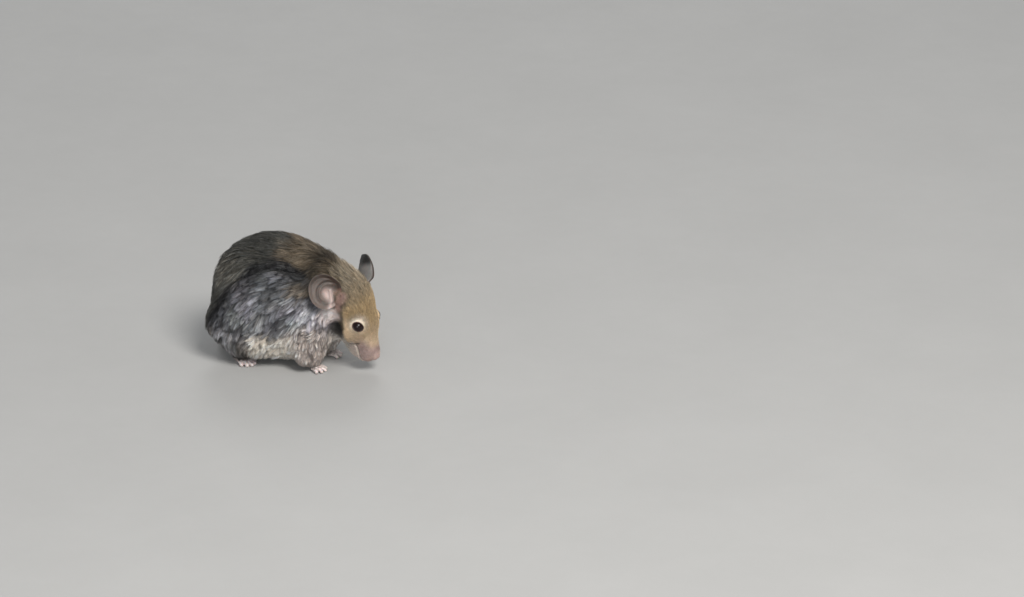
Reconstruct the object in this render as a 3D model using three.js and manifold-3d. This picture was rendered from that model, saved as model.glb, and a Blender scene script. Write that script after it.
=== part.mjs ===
// A young house mouse, still and life-size: hunched on all four feet, with the head turned to its right and
// lowered. The flesh is one smooth field of named masses, coat included, meshed once per node and parted by
// thin gaps. Feet, ears, eyes and tail are shaped on their own and set against it.
// Millimetres, +X forwards, +Y to the mouse's left, +Z up.
import * as THREE from "three";
import { mergeVertices } from "three/addons/utils/BufferGeometryUtils.js";
import Module from "manifold-3d";

const wasm = await Module();
wasm.setup();

// ---------------------------------------------------------------- driving dimensions
const GAP = 0.34; // between two neighbouring nodes
const MARGIN = 3; // how far the space parted off for a node reaches beyond its own masses
const v3 = (x, y, z) => new THREE.Vector3(x, y, z);
const SIDES = { right: -1, left: 1 };

const HEAD = {
  nose: v3(26.1, -0.9, 4.1), // tip of the nose, origin of the head's own frame
  yaw: -7, // degrees to the left; negative turns the face to the mouse's right
  pitch: 56, // degrees down
  roll: 5,
  scale: 1.09, // against a head 24.6 long from the nose to the back of the skull
};
const EYE = { ahead: -9.7, aside: 3.95, above: 3.6, radius: 1.65 };
const EAR = {
  width: 9.9,
  length: 11.0,
  thick: 0.6,
  cup: 1.0, // depth of the hollow
  curl: 0.9, // how far the front and back edges bend forwards
  narrowing: 0.34, // loss of width towards the foot
  middle: 0.46, // height of the middle of the disc, as a share of the length
  rings: 3,
  around: 18,
};
const TAIL = {
  rootRadius: 1.75,
  tipRadius: 0.45,
  rest: 0.9, // height of its middle above the floor, in radii, so that it lies on a narrow flat
  steps: 9,
};
const NOSTRIL = 0.38; // radius
const SOLE = { height: 1.1, radius: 1.35 }; // of the middle of the pad, and its half thickness
// Stations of a toe from its root to the tip of its claw: share of the toe's length, height and radius.
const TOE = [
  [0, 1.0, 0.62],
  [0.4, 1.15, 0.59],
  [0.9, 0.6, 0.5],
  [1.08, 0.62, 0.3],
  [1.3, 0.35, 0.12],
];

// Grid size of each node's mesh, finer where the form is finer.
const CELLS = {
  nose: 0.9,
  lower_jaw: 1.7,
  head: 1.7,
  neck: 2.8,
  foreleg_right: 2.5,
  foreleg_left: 2.5,
  hind_leg_right: 3.0,
  hind_leg_left: 3.0,
  trunk: 3.7,
};
const PARTING = 1.35; // how much coarser the surfaces between two nodes are
const LOW = v3(-30, -24, -8); // corners of the space that holds all the flesh
const HIGH = v3(36, 24, 44);

// ---------------------------------------------------------------- the head's own frame
const turned = (x, y, z, order = "XYZ") =>
  new THREE.Matrix4().makeRotationFromEuler(
    new THREE.Euler(...[x, y, z].map(THREE.MathUtils.degToRad), order),
  );
const headTurn = turned(HEAD.roll, HEAD.pitch, HEAD.yaw, "ZYX");
const headFrame = headTurn
  .clone()
  .scale(v3(HEAD.scale, HEAD.scale, HEAD.scale))
  .setPosition(HEAD.nose);
const fromHead = (x, y, z) => v3(x, y, z).applyMatrix4(headFrame);

// ---------------------------------------------------------------- field of distances
// Signed distance of an ellipsoid, given its centre, its radii and, if it is turned, its axes.
function ellipsoid(centre, radii, turn = new THREE.Matrix4()) {
  const inverse = new THREE.Matrix3().setFromMatrix4(turn).transpose();
  const q = v3();
  return (p) => {
    q.copy(p).sub(centre).applyMatrix3(inverse);
    const k0 = Math.hypot(q.x / radii.x, q.y / radii.y, q.z / radii.z);
    const k1 = Math.hypot(q.x / radii.x ** 2, q.y / radii.y ** 2, q.z / radii.z ** 2);
    return k1 > 1e-9 ? (k0 * (k0 - 1)) / k1 : -Math.min(radii.x, radii.y, radii.z);
  };
}

// Signed distance of a limb: a rounded cone from a to b.
function limb(a, b, radiusA, radiusB) {
  const along = b.clone().sub(a);
  const q = v3();
  return (p) => {
    const t = THREE.MathUtils.clamp(q.copy(p).sub(a).dot(along) / along.lengthSq(), 0, 1);
    return q.addScaledVector(along, -t).length() - THREE.MathUtils.lerp(radiusA, radiusB, t);
  };
}

// The union of fields, with a fillet of about size k where two of them meet.
function joined(fields, k) {
  return (p) =>
    fields.reduce((a, field) => {
      const b = field(p);
      const h = Math.max(k - Math.abs(a - b), 0) / k;
      return Math.min(a, b) - (h * h * k) / 4;
    }, Infinity);
}

function inHead(x, y, z, rx, ry, rz) {
  return ellipsoid(fromHead(x, y, z), v3(rx, ry, rz).multiplyScalar(HEAD.scale), headTurn);
}
function limbInHead(a, b, radiusA, radiusB) {
  return limb(fromHead(...a), fromHead(...b), radiusA * HEAD.scale, radiusB * HEAD.scale);
}

// ---------------------------------------------------------------- masses of flesh
const trunk = joined(
  [
    ellipsoid(v3(-3.5, 0, 20.7), v3(17.2, 13.4, 16.2)), // back
    ellipsoid(v3(-1.5, 0, 10.5), v3(14.0, 11.3, 9.6)), // belly
    ellipsoid(v3(-13.6, 0, 21.2), v3(6.6, 8.5, 8.6)), // loins
    ellipsoid(v3(-14.8, 0, 13.5), v3(6.5, 9.0, 9.0)), // rump
    ellipsoid(v3(6.5, 0, 20.6), v3(11.0, 8.6, 13.8)), // shoulders
  ],
  4,
);
const neck = limb(v3(9, 0.4, 25.5), fromHead(-19.2, 0.5, 2.4), 6.6, 5.7);
const head = joined(
  [
    inHead(-15.8, 0, 2.6, 7.6, 6.2, 5.4), // cranium
    limbInHead([-9.6, 0, 1.1], [-3.3, 0, -0.1], 4.9, 2.8), // snout
    ...Object.values(SIDES).flatMap((s) => [
      inHead(-11.4, 3.2 * s, -0.9, 4.2, 2.8, 3.7), // cheek
      inHead(-3.2, 1.45 * s, -1.2, 2.9, 1.8, 2.4), // whisker pad
      inHead(-10.0, 2.9 * s, 3.2, 3.4, 2.0, 2.0), // brow
    ]),
  ],
  1.8,
);
const jaw = limbInHead([-10.2, 0, -3.9], [-3.8, 0, -4.3], 2.7, 1.7);
const nose = inHead(-0.7, 0, 0.4, 1.1, 1.35, 1.15);

function foreleg(s) {
  return joined(
    [
      ellipsoid(v3(7.0, 6.2 * s, 13.0), v3(6.0, 4.8, 8.0), turned(0, -12, 0)), // shoulder and upper arm
      ellipsoid(v3(9.0, 6.0 * s, 7.2), v3(4.3, 3.7, 5.2)), // elbow
      limb(v3(8.0, 6.4 * s, 6), v3(9.2, 5.3 * s, 2.8), 3.6, 2.3), // forearm
    ],
    3,
  );
}
function hindLeg(s) {
  return joined(
    [
      ellipsoid(v3(-9.5, 7.9 * s, 14.8), v3(10.3, 7.0, 12.6), turned(0, -8, 0)), // haunch
      ellipsoid(v3(-16.0, 7.3 * s, 11.0), v3(6.5, 5.6, 4.9)), // back of the thigh
      limb(v3(-11.4, 7.6 * s, 7.5), v3(-12.6, 6.6 * s, 3.7), 3.4, 2.1), // shin and ankle
    ],
    3,
  );
}

// In the order in which they are parted from the flesh; the trunk is what is left.
const groups = {
  nose,
  lower_jaw: jaw,
  head,
  neck,
  foreleg_right: foreleg(SIDES.right),
  foreleg_left: foreleg(SIDES.left),
  hind_leg_right: hindLeg(SIDES.right),
  hind_leg_left: hindLeg(SIDES.left),
  trunk,
};
const flesh = joined(Object.values(groups), 2.0);

// ---------------------------------------------------------------- solids and meshes
function solidFrom(places, triangles) {
  return new wasm.Manifold(
    new wasm.Mesh({
      numProp: 3,
      vertProperties: new Float32Array(places),
      triVerts: new Uint32Array(triangles),
    }),
  );
}
function solidOf(geometry) {
  const bare = geometry.clone();
  bare.deleteAttribute("normal");
  bare.deleteAttribute("uv");
  const merged = mergeVertices(bare, 1e-4);
  return solidFrom(merged.attributes.position.array, merged.index.array);
}
function geometryOf(solid) {
  const mesh = solid.getMesh();
  const places = new Float32Array(mesh.numVert * 3);
  for (let i = 0; i < mesh.numVert; i++)
    places.set(mesh.vertProperties.subarray(i * mesh.numProp, i * mesh.numProp + 3), i * 3);
  return new THREE.BufferGeometry()
    .setAttribute("position", new THREE.BufferAttribute(places, 3))
    .setIndex(new THREE.BufferAttribute(mesh.triVerts, 1));
}
const largest = (solid) => solid.decompose().sort((a, b) => b.volume() - a.volume())[0];

function slopeOf(field, p, step = 0.1) {
  const here = field(p);
  const ahead = (x, y, z) => (field(v3(p.x + x, p.y + y, p.z + z)) - here) / step;
  return v3(ahead(step, 0, 0), ahead(0, step, 0), ahead(0, 0, step));
}

// A closed mesh of where a field is below zero within a box: one vertex in each cube of a grid that the
// surface crosses. A smooth field can have its vertices settled on to the surface itself.
function netOf(field, cell, reach, settle = false) {
  const space = reach.clone().expandByScalar(cell);
  const low = space.min;
  const n = space.getSize(v3()).divideScalar(cell).ceil().addScalar(1).toArray();
  const at = (i, j, k) => i + n[0] * (j + n[1] * k);
  const steps = [at(1, 0, 0), at(0, 1, 0), at(0, 0, 1)];
  const corners = [0, 1, 2, 3, 4, 5, 6, 7].map((c) => [c & 1, (c >> 1) & 1, c >> 2]);
  const edges = [1, 2, 4].flatMap((bit) =>
    corners.flatMap((_, a) => (a & bit ? [] : [[a, a | bit]])),
  );
  const values = new Float32Array(n[0] * n[1] * n[2]);
  const each = (first, short, visit) => {
    for (let k = first; k < n[2] - short; k++)
      for (let j = first; j < n[1] - short; j++)
        for (let i = first; i < n[0] - short; i++) visit(i, j, k);
  };
  each(0, 0, (i, j, k) => {
    values[at(i, j, k)] = field(v3(i, j, k).multiplyScalar(cell).add(low));
  });
  const vertexOf = new Map();
  const places = [];
  each(0, 1, (i, j, k) => {
    const here = corners.map(([a, b, c]) => values[at(i + a, j + b, k + c)]);
    const cut = edges.filter(([a, b]) => here[a] < 0 !== here[b] < 0);
    if (!cut.length) return;
    const mean = v3(0, 0, 0);
    for (const [a, b] of cut) {
      const share = here[a] / (here[a] - here[b]);
      mean.add(v3(...corners[a]).lerp(v3(...corners[b]), share));
    }
    mean.divideScalar(cut.length).add(v3(i, j, k)).multiplyScalar(cell).add(low);
    if (settle) {
      const slope = slopeOf(field, mean);
      mean.addScaledVector(slope, -field(mean) / slope.lengthSq());
    }
    vertexOf.set(at(i, j, k), places.length / 3);
    places.push(...mean.toArray());
  });
  const triangles = [];
  each(1, 1, (i, j, k) => {
    const here = at(i, j, k);
    for (let axis = 0; axis < 3; axis++) {
      const inside = values[here] < 0;
      if (inside === values[here + steps[axis]] < 0) continue;
      const [u, w] = [steps[(axis + 1) % 3], steps[(axis + 2) % 3]];
      const [a, b, c, d] = [here, here - u, here - u - w, here - w].map((cube) => vertexOf.get(cube));
      triangles.push(...(inside ? [a, b, c, a, c, d] : [a, c, b, a, d, c]));
    }
  });
  return solidFrom(places, triangles);
}

// The box in which a field stays below the given distance, with a coarse step to spare.
function reachOf(field, distance) {
  const step = 3;
  const reach = new THREE.Box3();
  const p = v3();
  for (p.x = LOW.x; p.x <= HIGH.x; p.x += step)
    for (p.y = LOW.y; p.y <= HIGH.y; p.y += step)
      for (p.z = LOW.z; p.z <= HIGH.z; p.z += step)
        if (field(p) < distance + step) reach.expandByPoint(p);
  return reach.expandByScalar(step / 2);
}

// The space nearer to one group's masses than to those of the groups after it, grown by the given margin.
// Dividing by the slope keeps the margin even.
function shareOf(name, margin) {
  const names = Object.keys(groups);
  const others = names.slice(names.indexOf(name) + 1).map((g) => groups[g]);
  const lead = (p) => groups[name](p) - Math.min(...others.map((other) => other(p)));
  return netOf((p) => {
    const slope = Math.max(slopeOf(lead, p).length(), 0.5);
    return Math.max(lead(p) / slope - margin, groups[name](p) - MARGIN);
  }, CELLS[name] * PARTING, reachOf(groups[name], MARGIN));
}

// A round tube through the given points, with a radius at each, closed by a cap at each end.
function tube(points, radii, sides = 7) {
  const places = [];
  const triangles = [];
  let across = v3(0, 0, 1);
  points.forEach((p, i) => {
    const [before, after] = [points[Math.max(i - 1, 0)], points[Math.min(i + 1, points.length - 1)]];
    const ahead = after.clone().sub(before).normalize();
    across = across.clone().addScaledVector(ahead, -across.dot(ahead));
    if (across.lengthSq() < 1e-6) across = v3(1, 0, 0).addScaledVector(ahead, -ahead.x);
    across.normalize();
    const other = ahead.clone().cross(across);
    for (let k = 0; k < sides; k++) {
      const angle = (2 * Math.PI * k) / sides;
      const spoke = across.clone().multiplyScalar(Math.cos(angle)).addScaledVector(other, Math.sin(angle));
      places.push(...p.clone().addScaledVector(spoke, radii[i]).toArray());
      if (i === 0) continue;
      const [a, b] = [(i - 1) * sides + k, (i - 1) * sides + ((k + 1) % sides)];
      triangles.push(a, b, b + sides, a, b + sides, a + sides);
    }
  });
  const last = points.length - 1;
  places.push(...points[0].toArray(), ...points[last].toArray());
  const [start, end] = [points.length * sides, points.length * sides + 1];
  for (let k = 0; k < sides; k++) {
    const next = (k + 1) % sides;
    triangles.push(start, next, k, end, last * sides + k, last * sides + next);
  }
  return solidFrom(places, triangles);
}

function pad(centre, radii, turn, around) {
  const sphere = new THREE.SphereGeometry(1, around, Math.round(around * 0.7)).rotateX(Math.PI / 2);
  return solidOf(sphere.scale(radii.x, radii.y, radii.z).applyMatrix4(turn.clone().setPosition(centre)));
}
const ball = (centre, radius, around) => pad(centre, v3(radius, radius, radius), headTurn, around);

// ---------------------------------------------------------------- nodes
const mouse = new THREE.Group();
const COAT = { color: 0x77716c, roughness: 0.9, metalness: 0 };
const FACE = { color: 0xb08f5c, roughness: 0.9, metalness: 0 };
const BARE = { color: 0xc9a596, roughness: 0.6, metalness: 0 };
const GLOSS = { color: 0x0c0807, roughness: 0.05, metalness: 0 };
const materials = Object.fromEntries(
  Object.entries({ COAT, FACE, BARE, GLOSS }).map(([k, m]) => [k, new THREE.MeshStandardMaterial(m)]),
);

function add(name, solid, material) {
  const mesh = new THREE.Mesh(geometryOf(largest(solid)), material);
  mesh.name = name;
  mouse.add(mesh);
}

const belowFloor = solidOf(new THREE.BoxGeometry(120, 120, 20).translate(0, 0, -10));
const spared = netOf((p) => flesh(p) - GAP, 2.4, reachOf(flesh, 1), true); // the flesh and the gap around it
const eyeCentre = (s) => fromHead(EYE.ahead, EYE.aside * s, EYE.above);

function fleshNodes() {
  const pits = [
    ...Object.values(SIDES).map((s) => ball(eyeCentre(s), EYE.radius + GAP / 2, 10)),
    ...Object.values(SIDES).map((s) => ball(fromHead(0.15, 0.75 * s, 0.4), NOSTRIL, 6)),
  ];
  const looks = { head: materials.FACE, lower_jaw: materials.FACE, nose: materials.BARE };
  const taken = [belowFloor, ...pits];
  for (const name of Object.keys(groups)) {
    const own = (p) => Math.max(flesh(p), groups[name](p) - MARGIN);
    let solid = netOf(own, CELLS[name], reachOf(groups[name], MARGIN), true);
    if (name !== "trunk") solid = solid.intersect(shareOf(name, -GAP / 2));
    for (const other of taken) solid = solid.subtract(other);
    if (name !== "trunk") taken.push(shareOf(name, GAP / 2));
    add(name, solid, looks[name] ?? materials.COAT);
  }
}

function eyes() {
  for (const [side, s] of Object.entries(SIDES))
    add(`eye_${side}`, ball(eyeCentre(s), EYE.radius, 10), materials.GLOSS);
}

// An ear: a cupped disc with a narrow foot, from its foot along the axis, opening towards the normal.
function ear(foot, axis, facing) {
  const up = axis.clone().normalize();
  const out = facing.clone().addScaledVector(up, -facing.dot(up)).normalize();
  const across = up.clone().cross(out);
  const { rings, around } = EAR;
  const surface = (share, angle, lift) => {
    const [c, s] = [Math.cos(angle), Math.sin(angle)];
    const width = (EAR.width / 2) * (1 - EAR.narrowing * Math.max(0, -s) ** 2);
    const cup = EAR.cup * (share ** 2 - 1) + EAR.curl * Math.abs(c * share) ** 3;
    return foot
      .clone()
      .addScaledVector(up, EAR.length * (EAR.middle + (1 - EAR.middle) * share * s))
      .addScaledVector(across, width * share * c)
      .addScaledVector(out, cup + lift);
  };
  const places = [];
  const triangles = [];
  const layer = 1 + rings * around;
  for (const lift of [EAR.thick / 2, -EAR.thick / 2]) {
    places.push(...surface(0, 0, lift).toArray());
    for (let r = 1; r <= rings; r++)
      for (let k = 0; k < around; k++)
        places.push(...surface(r / rings, (2 * Math.PI * k) / around, lift).toArray());
  }
  const spot = (r, k, back) => (r ? 1 + (r - 1) * around + (k % around) : 0) + (back ? layer : 0);
  const quad = (a, b, c, d) => {
    triangles.push(a, b, c);
    if (d !== undefined) triangles.push(a, c, d);
  };
  for (let k = 0; k < around; k++) {
    quad(spot(0, 0, false), spot(1, k, false), spot(1, k + 1, false));
    quad(spot(0, 0, true), spot(1, k + 1, true), spot(1, k, true));
    for (let r = 1; r < rings; r++) {
      quad(spot(r, k, false), spot(r + 1, k, false), spot(r + 1, k + 1, false), spot(r, k + 1, false));
      quad(spot(r, k, true), spot(r, k + 1, true), spot(r + 1, k + 1, true), spot(r + 1, k, true));
    }
    const [front, back] = [spot(rings, k, false), spot(rings, k, true)];
    quad(front, back, spot(rings, k + 1, true), spot(rings, k + 1, false));
  }
  return solidFrom(places, triangles).subtract(spared);
}

function ears() {
  const right = ear(fromHead(-17.0, -6.6, 3.3), v3(-0.62, -0.22, 0.8), v3(0.34, -0.86, 0.38));
  const left = ear(fromHead(-16.0, 5.0, 3.7), v3(-0.15, 0.34, 0.93), v3(0.78, 0.62, -0.1));
  add("ear_right", right, materials.BARE);
  add("ear_left", left, materials.BARE);
}

// A foot: a flat sole from the heel towards its heading, with toes that fan out and end in claws.
function foot({ heel, heading, soleLength, soleWidth, toes, spread, toeLength }) {
  const ahead = v3(Math.cos(heading), Math.sin(heading), 0);
  const left = v3(-ahead.y, ahead.x, 0);
  const middle = heel.clone().addScaledVector(ahead, soleLength / 2).setZ(SOLE.height);
  const turn = new THREE.Matrix4().makeRotationZ(heading);
  let solid = pad(middle, v3(soleLength * 0.56, soleWidth / 2, SOLE.radius), turn, 10);
  for (let i = 0; i < toes; i++) {
    const place = (2 * i) / (toes - 1) - 1; // -1 at the right edge, 1 at the left
    const angle = heading + spread * place;
    const out = v3(Math.cos(angle), Math.sin(angle), 0);
    const length = toeLength * (1 - 0.28 * place * place); // the outer toes are shorter
    const root = heel
      .clone()
      .addScaledVector(ahead, soleLength * 0.78)
      .addScaledVector(left, soleWidth * 0.36 * place);
    const along = ([share, height]) => root.clone().addScaledVector(out, share * length).setZ(height);
    solid = solid.add(tube(TOE.map(along), TOE.map((station) => station[2]), 5));
  }
  return solid.subtract(spared).subtract(belowFloor);
}

function feet() {
  const degrees = THREE.MathUtils.degToRad;
  for (const [side, s] of Object.entries(SIDES)) {
    const fore = {
      heel: v3(8.6, 5.2 * s, 0),
      heading: degrees(side === "right" ? -18 : 15),
      soleLength: 3.4,
      soleWidth: 3.8,
      toes: 4,
      spread: 0.55,
      toeLength: 2.2,
    };
    const hind = {
      heel: v3(-14.9, 5.3 * s, 0),
      heading: degrees(28 * s),
      soleLength: 7.5,
      soleWidth: 3.6,
      toes: 5,
      spread: 0.5,
      toeLength: 3.0,
    };
    add(`forepaw_${side}`, foot(fore), materials.BARE);
    add(`hind_foot_${side}`, foot(hind), materials.BARE);
  }
}

// The tail leaves the rump low down and lies on the floor, round the left side of the body.
function tail() {
  const route = new THREE.CatmullRomCurve3([
    v3(-17.5, 1.0, 7.5),
    v3(-20.6, 2.6, 4.2),
    v3(-22.3, 6.2, 1.0),
    v3(-21.3, 11.8, 0),
    v3(-16.8, 16.6, 0),
    v3(-10.0, 19.6, 0),
    v3(-2.0, 20.6, 0),
    v3(5.0, 20.0, 0),
    v3(9.8, 21.4, 0),
    v3(11.6, 25.0, 0),
  ]);
  const lengths = { tail_base: [0, 0.3], tail_middle: [0.3, 0.65], tail_tip: [0.65, 1] };
  for (const [name, [from, to]] of Object.entries(lengths)) {
    const start = name === "tail_base" ? from : from + GAP / route.getLength();
    const steps = Array.from({ length: TAIL.steps + 1 }, (_, i) => i / TAIL.steps);
    const shares = steps.map((t) => THREE.MathUtils.lerp(start, to, t));
    const radii = shares.map((t) => THREE.MathUtils.lerp(TAIL.rootRadius, TAIL.tipRadius, t ** 0.85));
    const points = shares.map((t, i) => {
      const p = route.getPointAt(t);
      return p.setZ(Math.max(p.z, radii[i] * TAIL.rest));
    });
    add(name, tube(points, radii, 8).subtract(spared).subtract(belowFloor), materials.BARE);
  }
}

fleshNodes();
eyes();
ears();
feet();
tail();

// The origin is under the middle of the model, on the floor.
const extent = new THREE.Box3().setFromObject(mouse);
const middle = extent.getCenter(v3());
mouse.position.set(-middle.x, -middle.y, -extent.min.z);
export default mouse;
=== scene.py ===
"""A young house mouse, hunched and still: skin, coat, eyes, ears, paws, tail and whiskers over its solids."""
import math
from functools import cache

import bmesh
import bpy
import numpy as np
from bpy.props import FloatProperty, FloatVectorProperty, PointerProperty
from bpy.types import Operator, Panel, PropertyGroup
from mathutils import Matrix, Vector
from mathutils.bvhtree import BVHTree
from mathutils.kdtree import KDTree


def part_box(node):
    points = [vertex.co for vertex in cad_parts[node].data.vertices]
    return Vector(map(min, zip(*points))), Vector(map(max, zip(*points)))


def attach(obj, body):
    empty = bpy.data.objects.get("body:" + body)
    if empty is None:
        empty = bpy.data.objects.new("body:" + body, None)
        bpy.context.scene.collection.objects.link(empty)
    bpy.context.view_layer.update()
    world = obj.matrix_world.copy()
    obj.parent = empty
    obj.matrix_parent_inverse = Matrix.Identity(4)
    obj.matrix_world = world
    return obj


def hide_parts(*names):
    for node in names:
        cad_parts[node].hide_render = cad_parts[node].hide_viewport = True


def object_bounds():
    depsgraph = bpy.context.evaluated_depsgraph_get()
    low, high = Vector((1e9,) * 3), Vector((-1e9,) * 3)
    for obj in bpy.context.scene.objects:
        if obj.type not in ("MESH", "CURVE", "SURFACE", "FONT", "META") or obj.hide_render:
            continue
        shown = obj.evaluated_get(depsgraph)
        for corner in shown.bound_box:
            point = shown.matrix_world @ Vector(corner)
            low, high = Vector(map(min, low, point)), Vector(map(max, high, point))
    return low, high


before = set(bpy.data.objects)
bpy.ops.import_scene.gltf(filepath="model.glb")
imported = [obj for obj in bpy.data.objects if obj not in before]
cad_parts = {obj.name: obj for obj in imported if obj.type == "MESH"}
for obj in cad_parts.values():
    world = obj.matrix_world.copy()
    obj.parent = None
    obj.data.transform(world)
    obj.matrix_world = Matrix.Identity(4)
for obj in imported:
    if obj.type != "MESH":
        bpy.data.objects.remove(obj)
CAD_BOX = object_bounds()

bl_info = {
    "name": "House mouse",
    "version": (1, 0, 0),
    "blender": (4, 5, 0),
    "location": "3D View > Sidebar > Mouse",
    "description": "Gives the solids of a young house mouse their skin, coat, eyes, ears and claws",
    "category": "Add Mesh",
}

MM = 0.001  # shapes are worked out in millimetres and made in metres
SIDES = {"right": -1, "left": 1}
LEGS = tuple(f"{leg}_{side}" for leg in ("foreleg", "hind_leg") for side in SIDES)
FLESH = ("trunk", "neck", "head", "lower_jaw", "nose", *LEGS)


# ------------------------------------------------------------------ numbers
def smooth(value, start, end):
    """Rises from 0 at start to 1 at end, level at both."""
    t = np.clip((value - start) / (end - start), 0.0, 1.0)
    return t * t * (3.0 - 2.0 * t)


def unit(vectors):
    return vectors / np.maximum(np.linalg.norm(vectors, axis=-1, keepdims=True), 1e-9)


def along(vectors, direction):
    return (vectors * direction).sum(-1)


def flat_to(vectors, normals):
    """The part of each vector that lies in the surface, as a unit vector."""
    return unit(vectors - normals * along(vectors, normals)[..., None])


def ridge(value, width):
    """1 where the value is 0, falling away smoothly on both sides."""
    return np.exp(-((value / width) ** 2))


def drift(points, size, seed=0):
    """Smooth noise from -1 to 1 that changes over the given size."""
    place = points / size + seed * 7.31
    cell = np.floor(place)
    part = place - cell
    part = part * part * (3 - 2 * part)
    total = 0.0
    for corner in np.ndindex(2, 2, 2):
        value = np.sin((cell + corner) @ np.array([12.9898, 78.233, 37.719])) * 43758.5453
        weight = np.prod(np.where(corner, part, 1 - part), axis=-1)
        total = total + weight * (2 * (value - np.floor(value)) - 1)
    return total


def mix(a, b, share):
    share = np.asarray(share)[..., None]
    return np.asarray(a) * (1 - share) + np.asarray(b) * share


def darker(tone, share):
    return tone * (1 - share)[:, None]


def painted(tone, *layers):
    """A tone with colours laid over it one after another, each as far as its share says."""
    for colour, share in layers:
        tone = mix(tone, colour, share)
    return tone


# ------------------------------------------------------------------ the frame
def middle(node):
    low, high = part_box(node)
    return np.array((low + high) / 2) / MM


class Head:
    """The head's own axes: ahead to the nose, aside to the left and up, with the nose at the origin."""

    def __init__(self):
        right, left, tip = (middle(node) for node in ("eye_right", "eye_left", "nose"))
        between = (right + left) / 2
        ahead_by, below_by = 9.63, 2.9  # from between the eyes to the nose, in the head's own units
        self.y = unit(left - right)
        slope = tip - between
        self.unit = np.linalg.norm(slope) / math.hypot(ahead_by, below_by)
        slope = unit(slope - self.y * (slope @ self.y))
        above = np.cross(slope, self.y)
        tilt = math.atan2(below_by, ahead_by)
        self.x = slope * math.cos(tilt) + above * math.sin(tilt)
        self.z = above * math.cos(tilt) - slope * math.sin(tilt)
        self.axes = np.array([self.x, self.y, self.z])
        self.origin = tip - (0.7 * self.z - 0.07 * self.x) * self.unit

    def of(self, points):
        return (points - self.origin) @ self.axes.T / self.unit

    def at(self, x, y, z):
        return self.origin + np.array([x, y, z]) @ self.axes * self.unit


head = Head()
MIDLINE = middle("trunk")[1]
EYE_RADIUS = 0.5 * (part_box("eye_right")[1].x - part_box("eye_right")[0].x) / MM


class Eye:
    """The way that an eye looks and its lids' opening, longer towards its front corner."""

    def __init__(self, side):
        s = SIDES[side]
        self.centre = middle(f"eye_{side}")
        self.out = unit(head.x * 0.06 + head.y * 0.8 * s + head.z * 0.58)
        corner = head.x + head.z * 0.8
        self.corner = unit(corner - self.out * (corner @ self.out))
        self.up = np.cross(self.out, self.corner) * s

    def away(self, points):
        return np.linalg.norm(points - self.centre, axis=1)

    def lids(self, points):
        """The ray to each point, its angle off the eye's outlook and the opening that way, in degrees."""
        sizes = bpy.context.scene.mouse_sizes
        wide, high = math.degrees(sizes.eye_width) / 2, math.degrees(sizes.eye_height) / 2
        ray = unit(points - self.centre)
        angle = np.degrees(np.arccos(np.clip(ray @ self.out, -1, 1)))
        turn = np.arctan2(ray @ self.up, ray @ self.corner)
        opening = 1 / np.sqrt((np.cos(turn) / wide) ** 2 + (np.sin(turn) / high) ** 2)
        opening += 7.0 * np.clip(np.cos(turn), 0, 1) ** 10 + 3.0 * np.clip(-np.cos(turn), 0, 1) ** 8
        return ray, angle, opening, turn


EYES = {side: Eye(side) for side in SIDES}
PALE_RING = {"right": 1.0, "left": 0.1}  # how clearly the ring round each eye shows


def crease(x):
    """Height at which the dry back meets the wet flank."""
    return 31.8 - 0.052 * (x + 2.5) ** 2


# ------------------------------------------------------------------ meshes
def numbers(items, name, width, kind=np.float32):
    """One kind of number of every point, edge, corner or face of a mesh, as rows of the given width."""
    found = np.empty(len(items) * width, kind)
    items.foreach_get(name, found)
    return found.reshape(-1, width)


def points_of(mesh):
    return numbers(mesh.vertices, "co", 3).astype(float)


def normals_of(mesh):
    return numbers(mesh.vertices, "normal", 3).astype(float)


def edges_of(mesh):
    return numbers(mesh.edges, "vertices", 2, np.int32)


def corners_of(mesh):
    return numbers(mesh.loops, "vertex_index", 1, np.int32)[:, 0]


def move_points(mesh, points):
    mesh.vertices.foreach_set("co", points.astype(np.float32).ravel())
    mesh.update()


def relax(values, edges, passes, share=0.5):
    """Evens values out along the edges, moving each towards the mean of its neighbours."""
    ends, others = edges.ravel(), edges[:, ::-1].ravel()
    count = np.maximum(np.bincount(ends, minlength=len(values)), 1)[:, None]
    for _ in range(passes):
        sums = [np.bincount(ends, column[others], len(values)) for column in values.T]
        values = values + share * (np.stack(sums, 1) / count - values)
    return values


def mesh_from(name, points, faces):
    """A smooth mesh from points in millimetres and arrays of faces, one array for each number of corners."""
    mesh = bpy.data.meshes.new(name)
    corners = np.concatenate([face.ravel() for face in faces]).astype(np.int32)
    sizes = np.concatenate([np.full(len(face), face.shape[1]) for face in faces])
    mesh.vertices.add(len(points))
    mesh.loops.add(len(corners))
    mesh.polygons.add(len(sizes))
    mesh.vertices.foreach_set("co", (points * MM).astype(np.float32).ravel())
    mesh.loops.foreach_set("vertex_index", corners)
    mesh.polygons.foreach_set("loop_start", np.concatenate([[0], np.cumsum(sizes)[:-1]]).astype(np.int32))
    mesh.polygons.foreach_set("use_smooth", np.ones(len(sizes), bool))
    mesh.update(calc_edges=True)
    return mesh


def store_tone(mesh, tone):
    layer = mesh.color_attributes.new(name="tone", type="FLOAT_COLOR", domain="POINT")
    rgba = np.concatenate([tone, np.ones((len(tone), 1))], 1)
    layer.data.foreach_set("color", rgba.astype(np.float32).ravel())


def placed(name, data):
    """Puts data in the scene as an object."""
    item = bpy.data.objects.new(name, data)
    bpy.context.scene.collection.objects.link(item)
    return item


def piece(mesh, material, nodes=()):
    """Puts a mesh in the scene as a piece of the mouse, standing for the given nodes."""
    item = placed(mesh.name, mesh)
    mesh.materials.append(material)
    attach(item, "root")
    if nodes:
        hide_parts(*nodes)
    return item


SKEW = np.array([[0.02, 0.01, 1.0]])  # almost upright: a direction that no rod given it runs in
FLOOR = 0.02  # lowest that a paw, claw or tail comes, in millimetres


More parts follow.
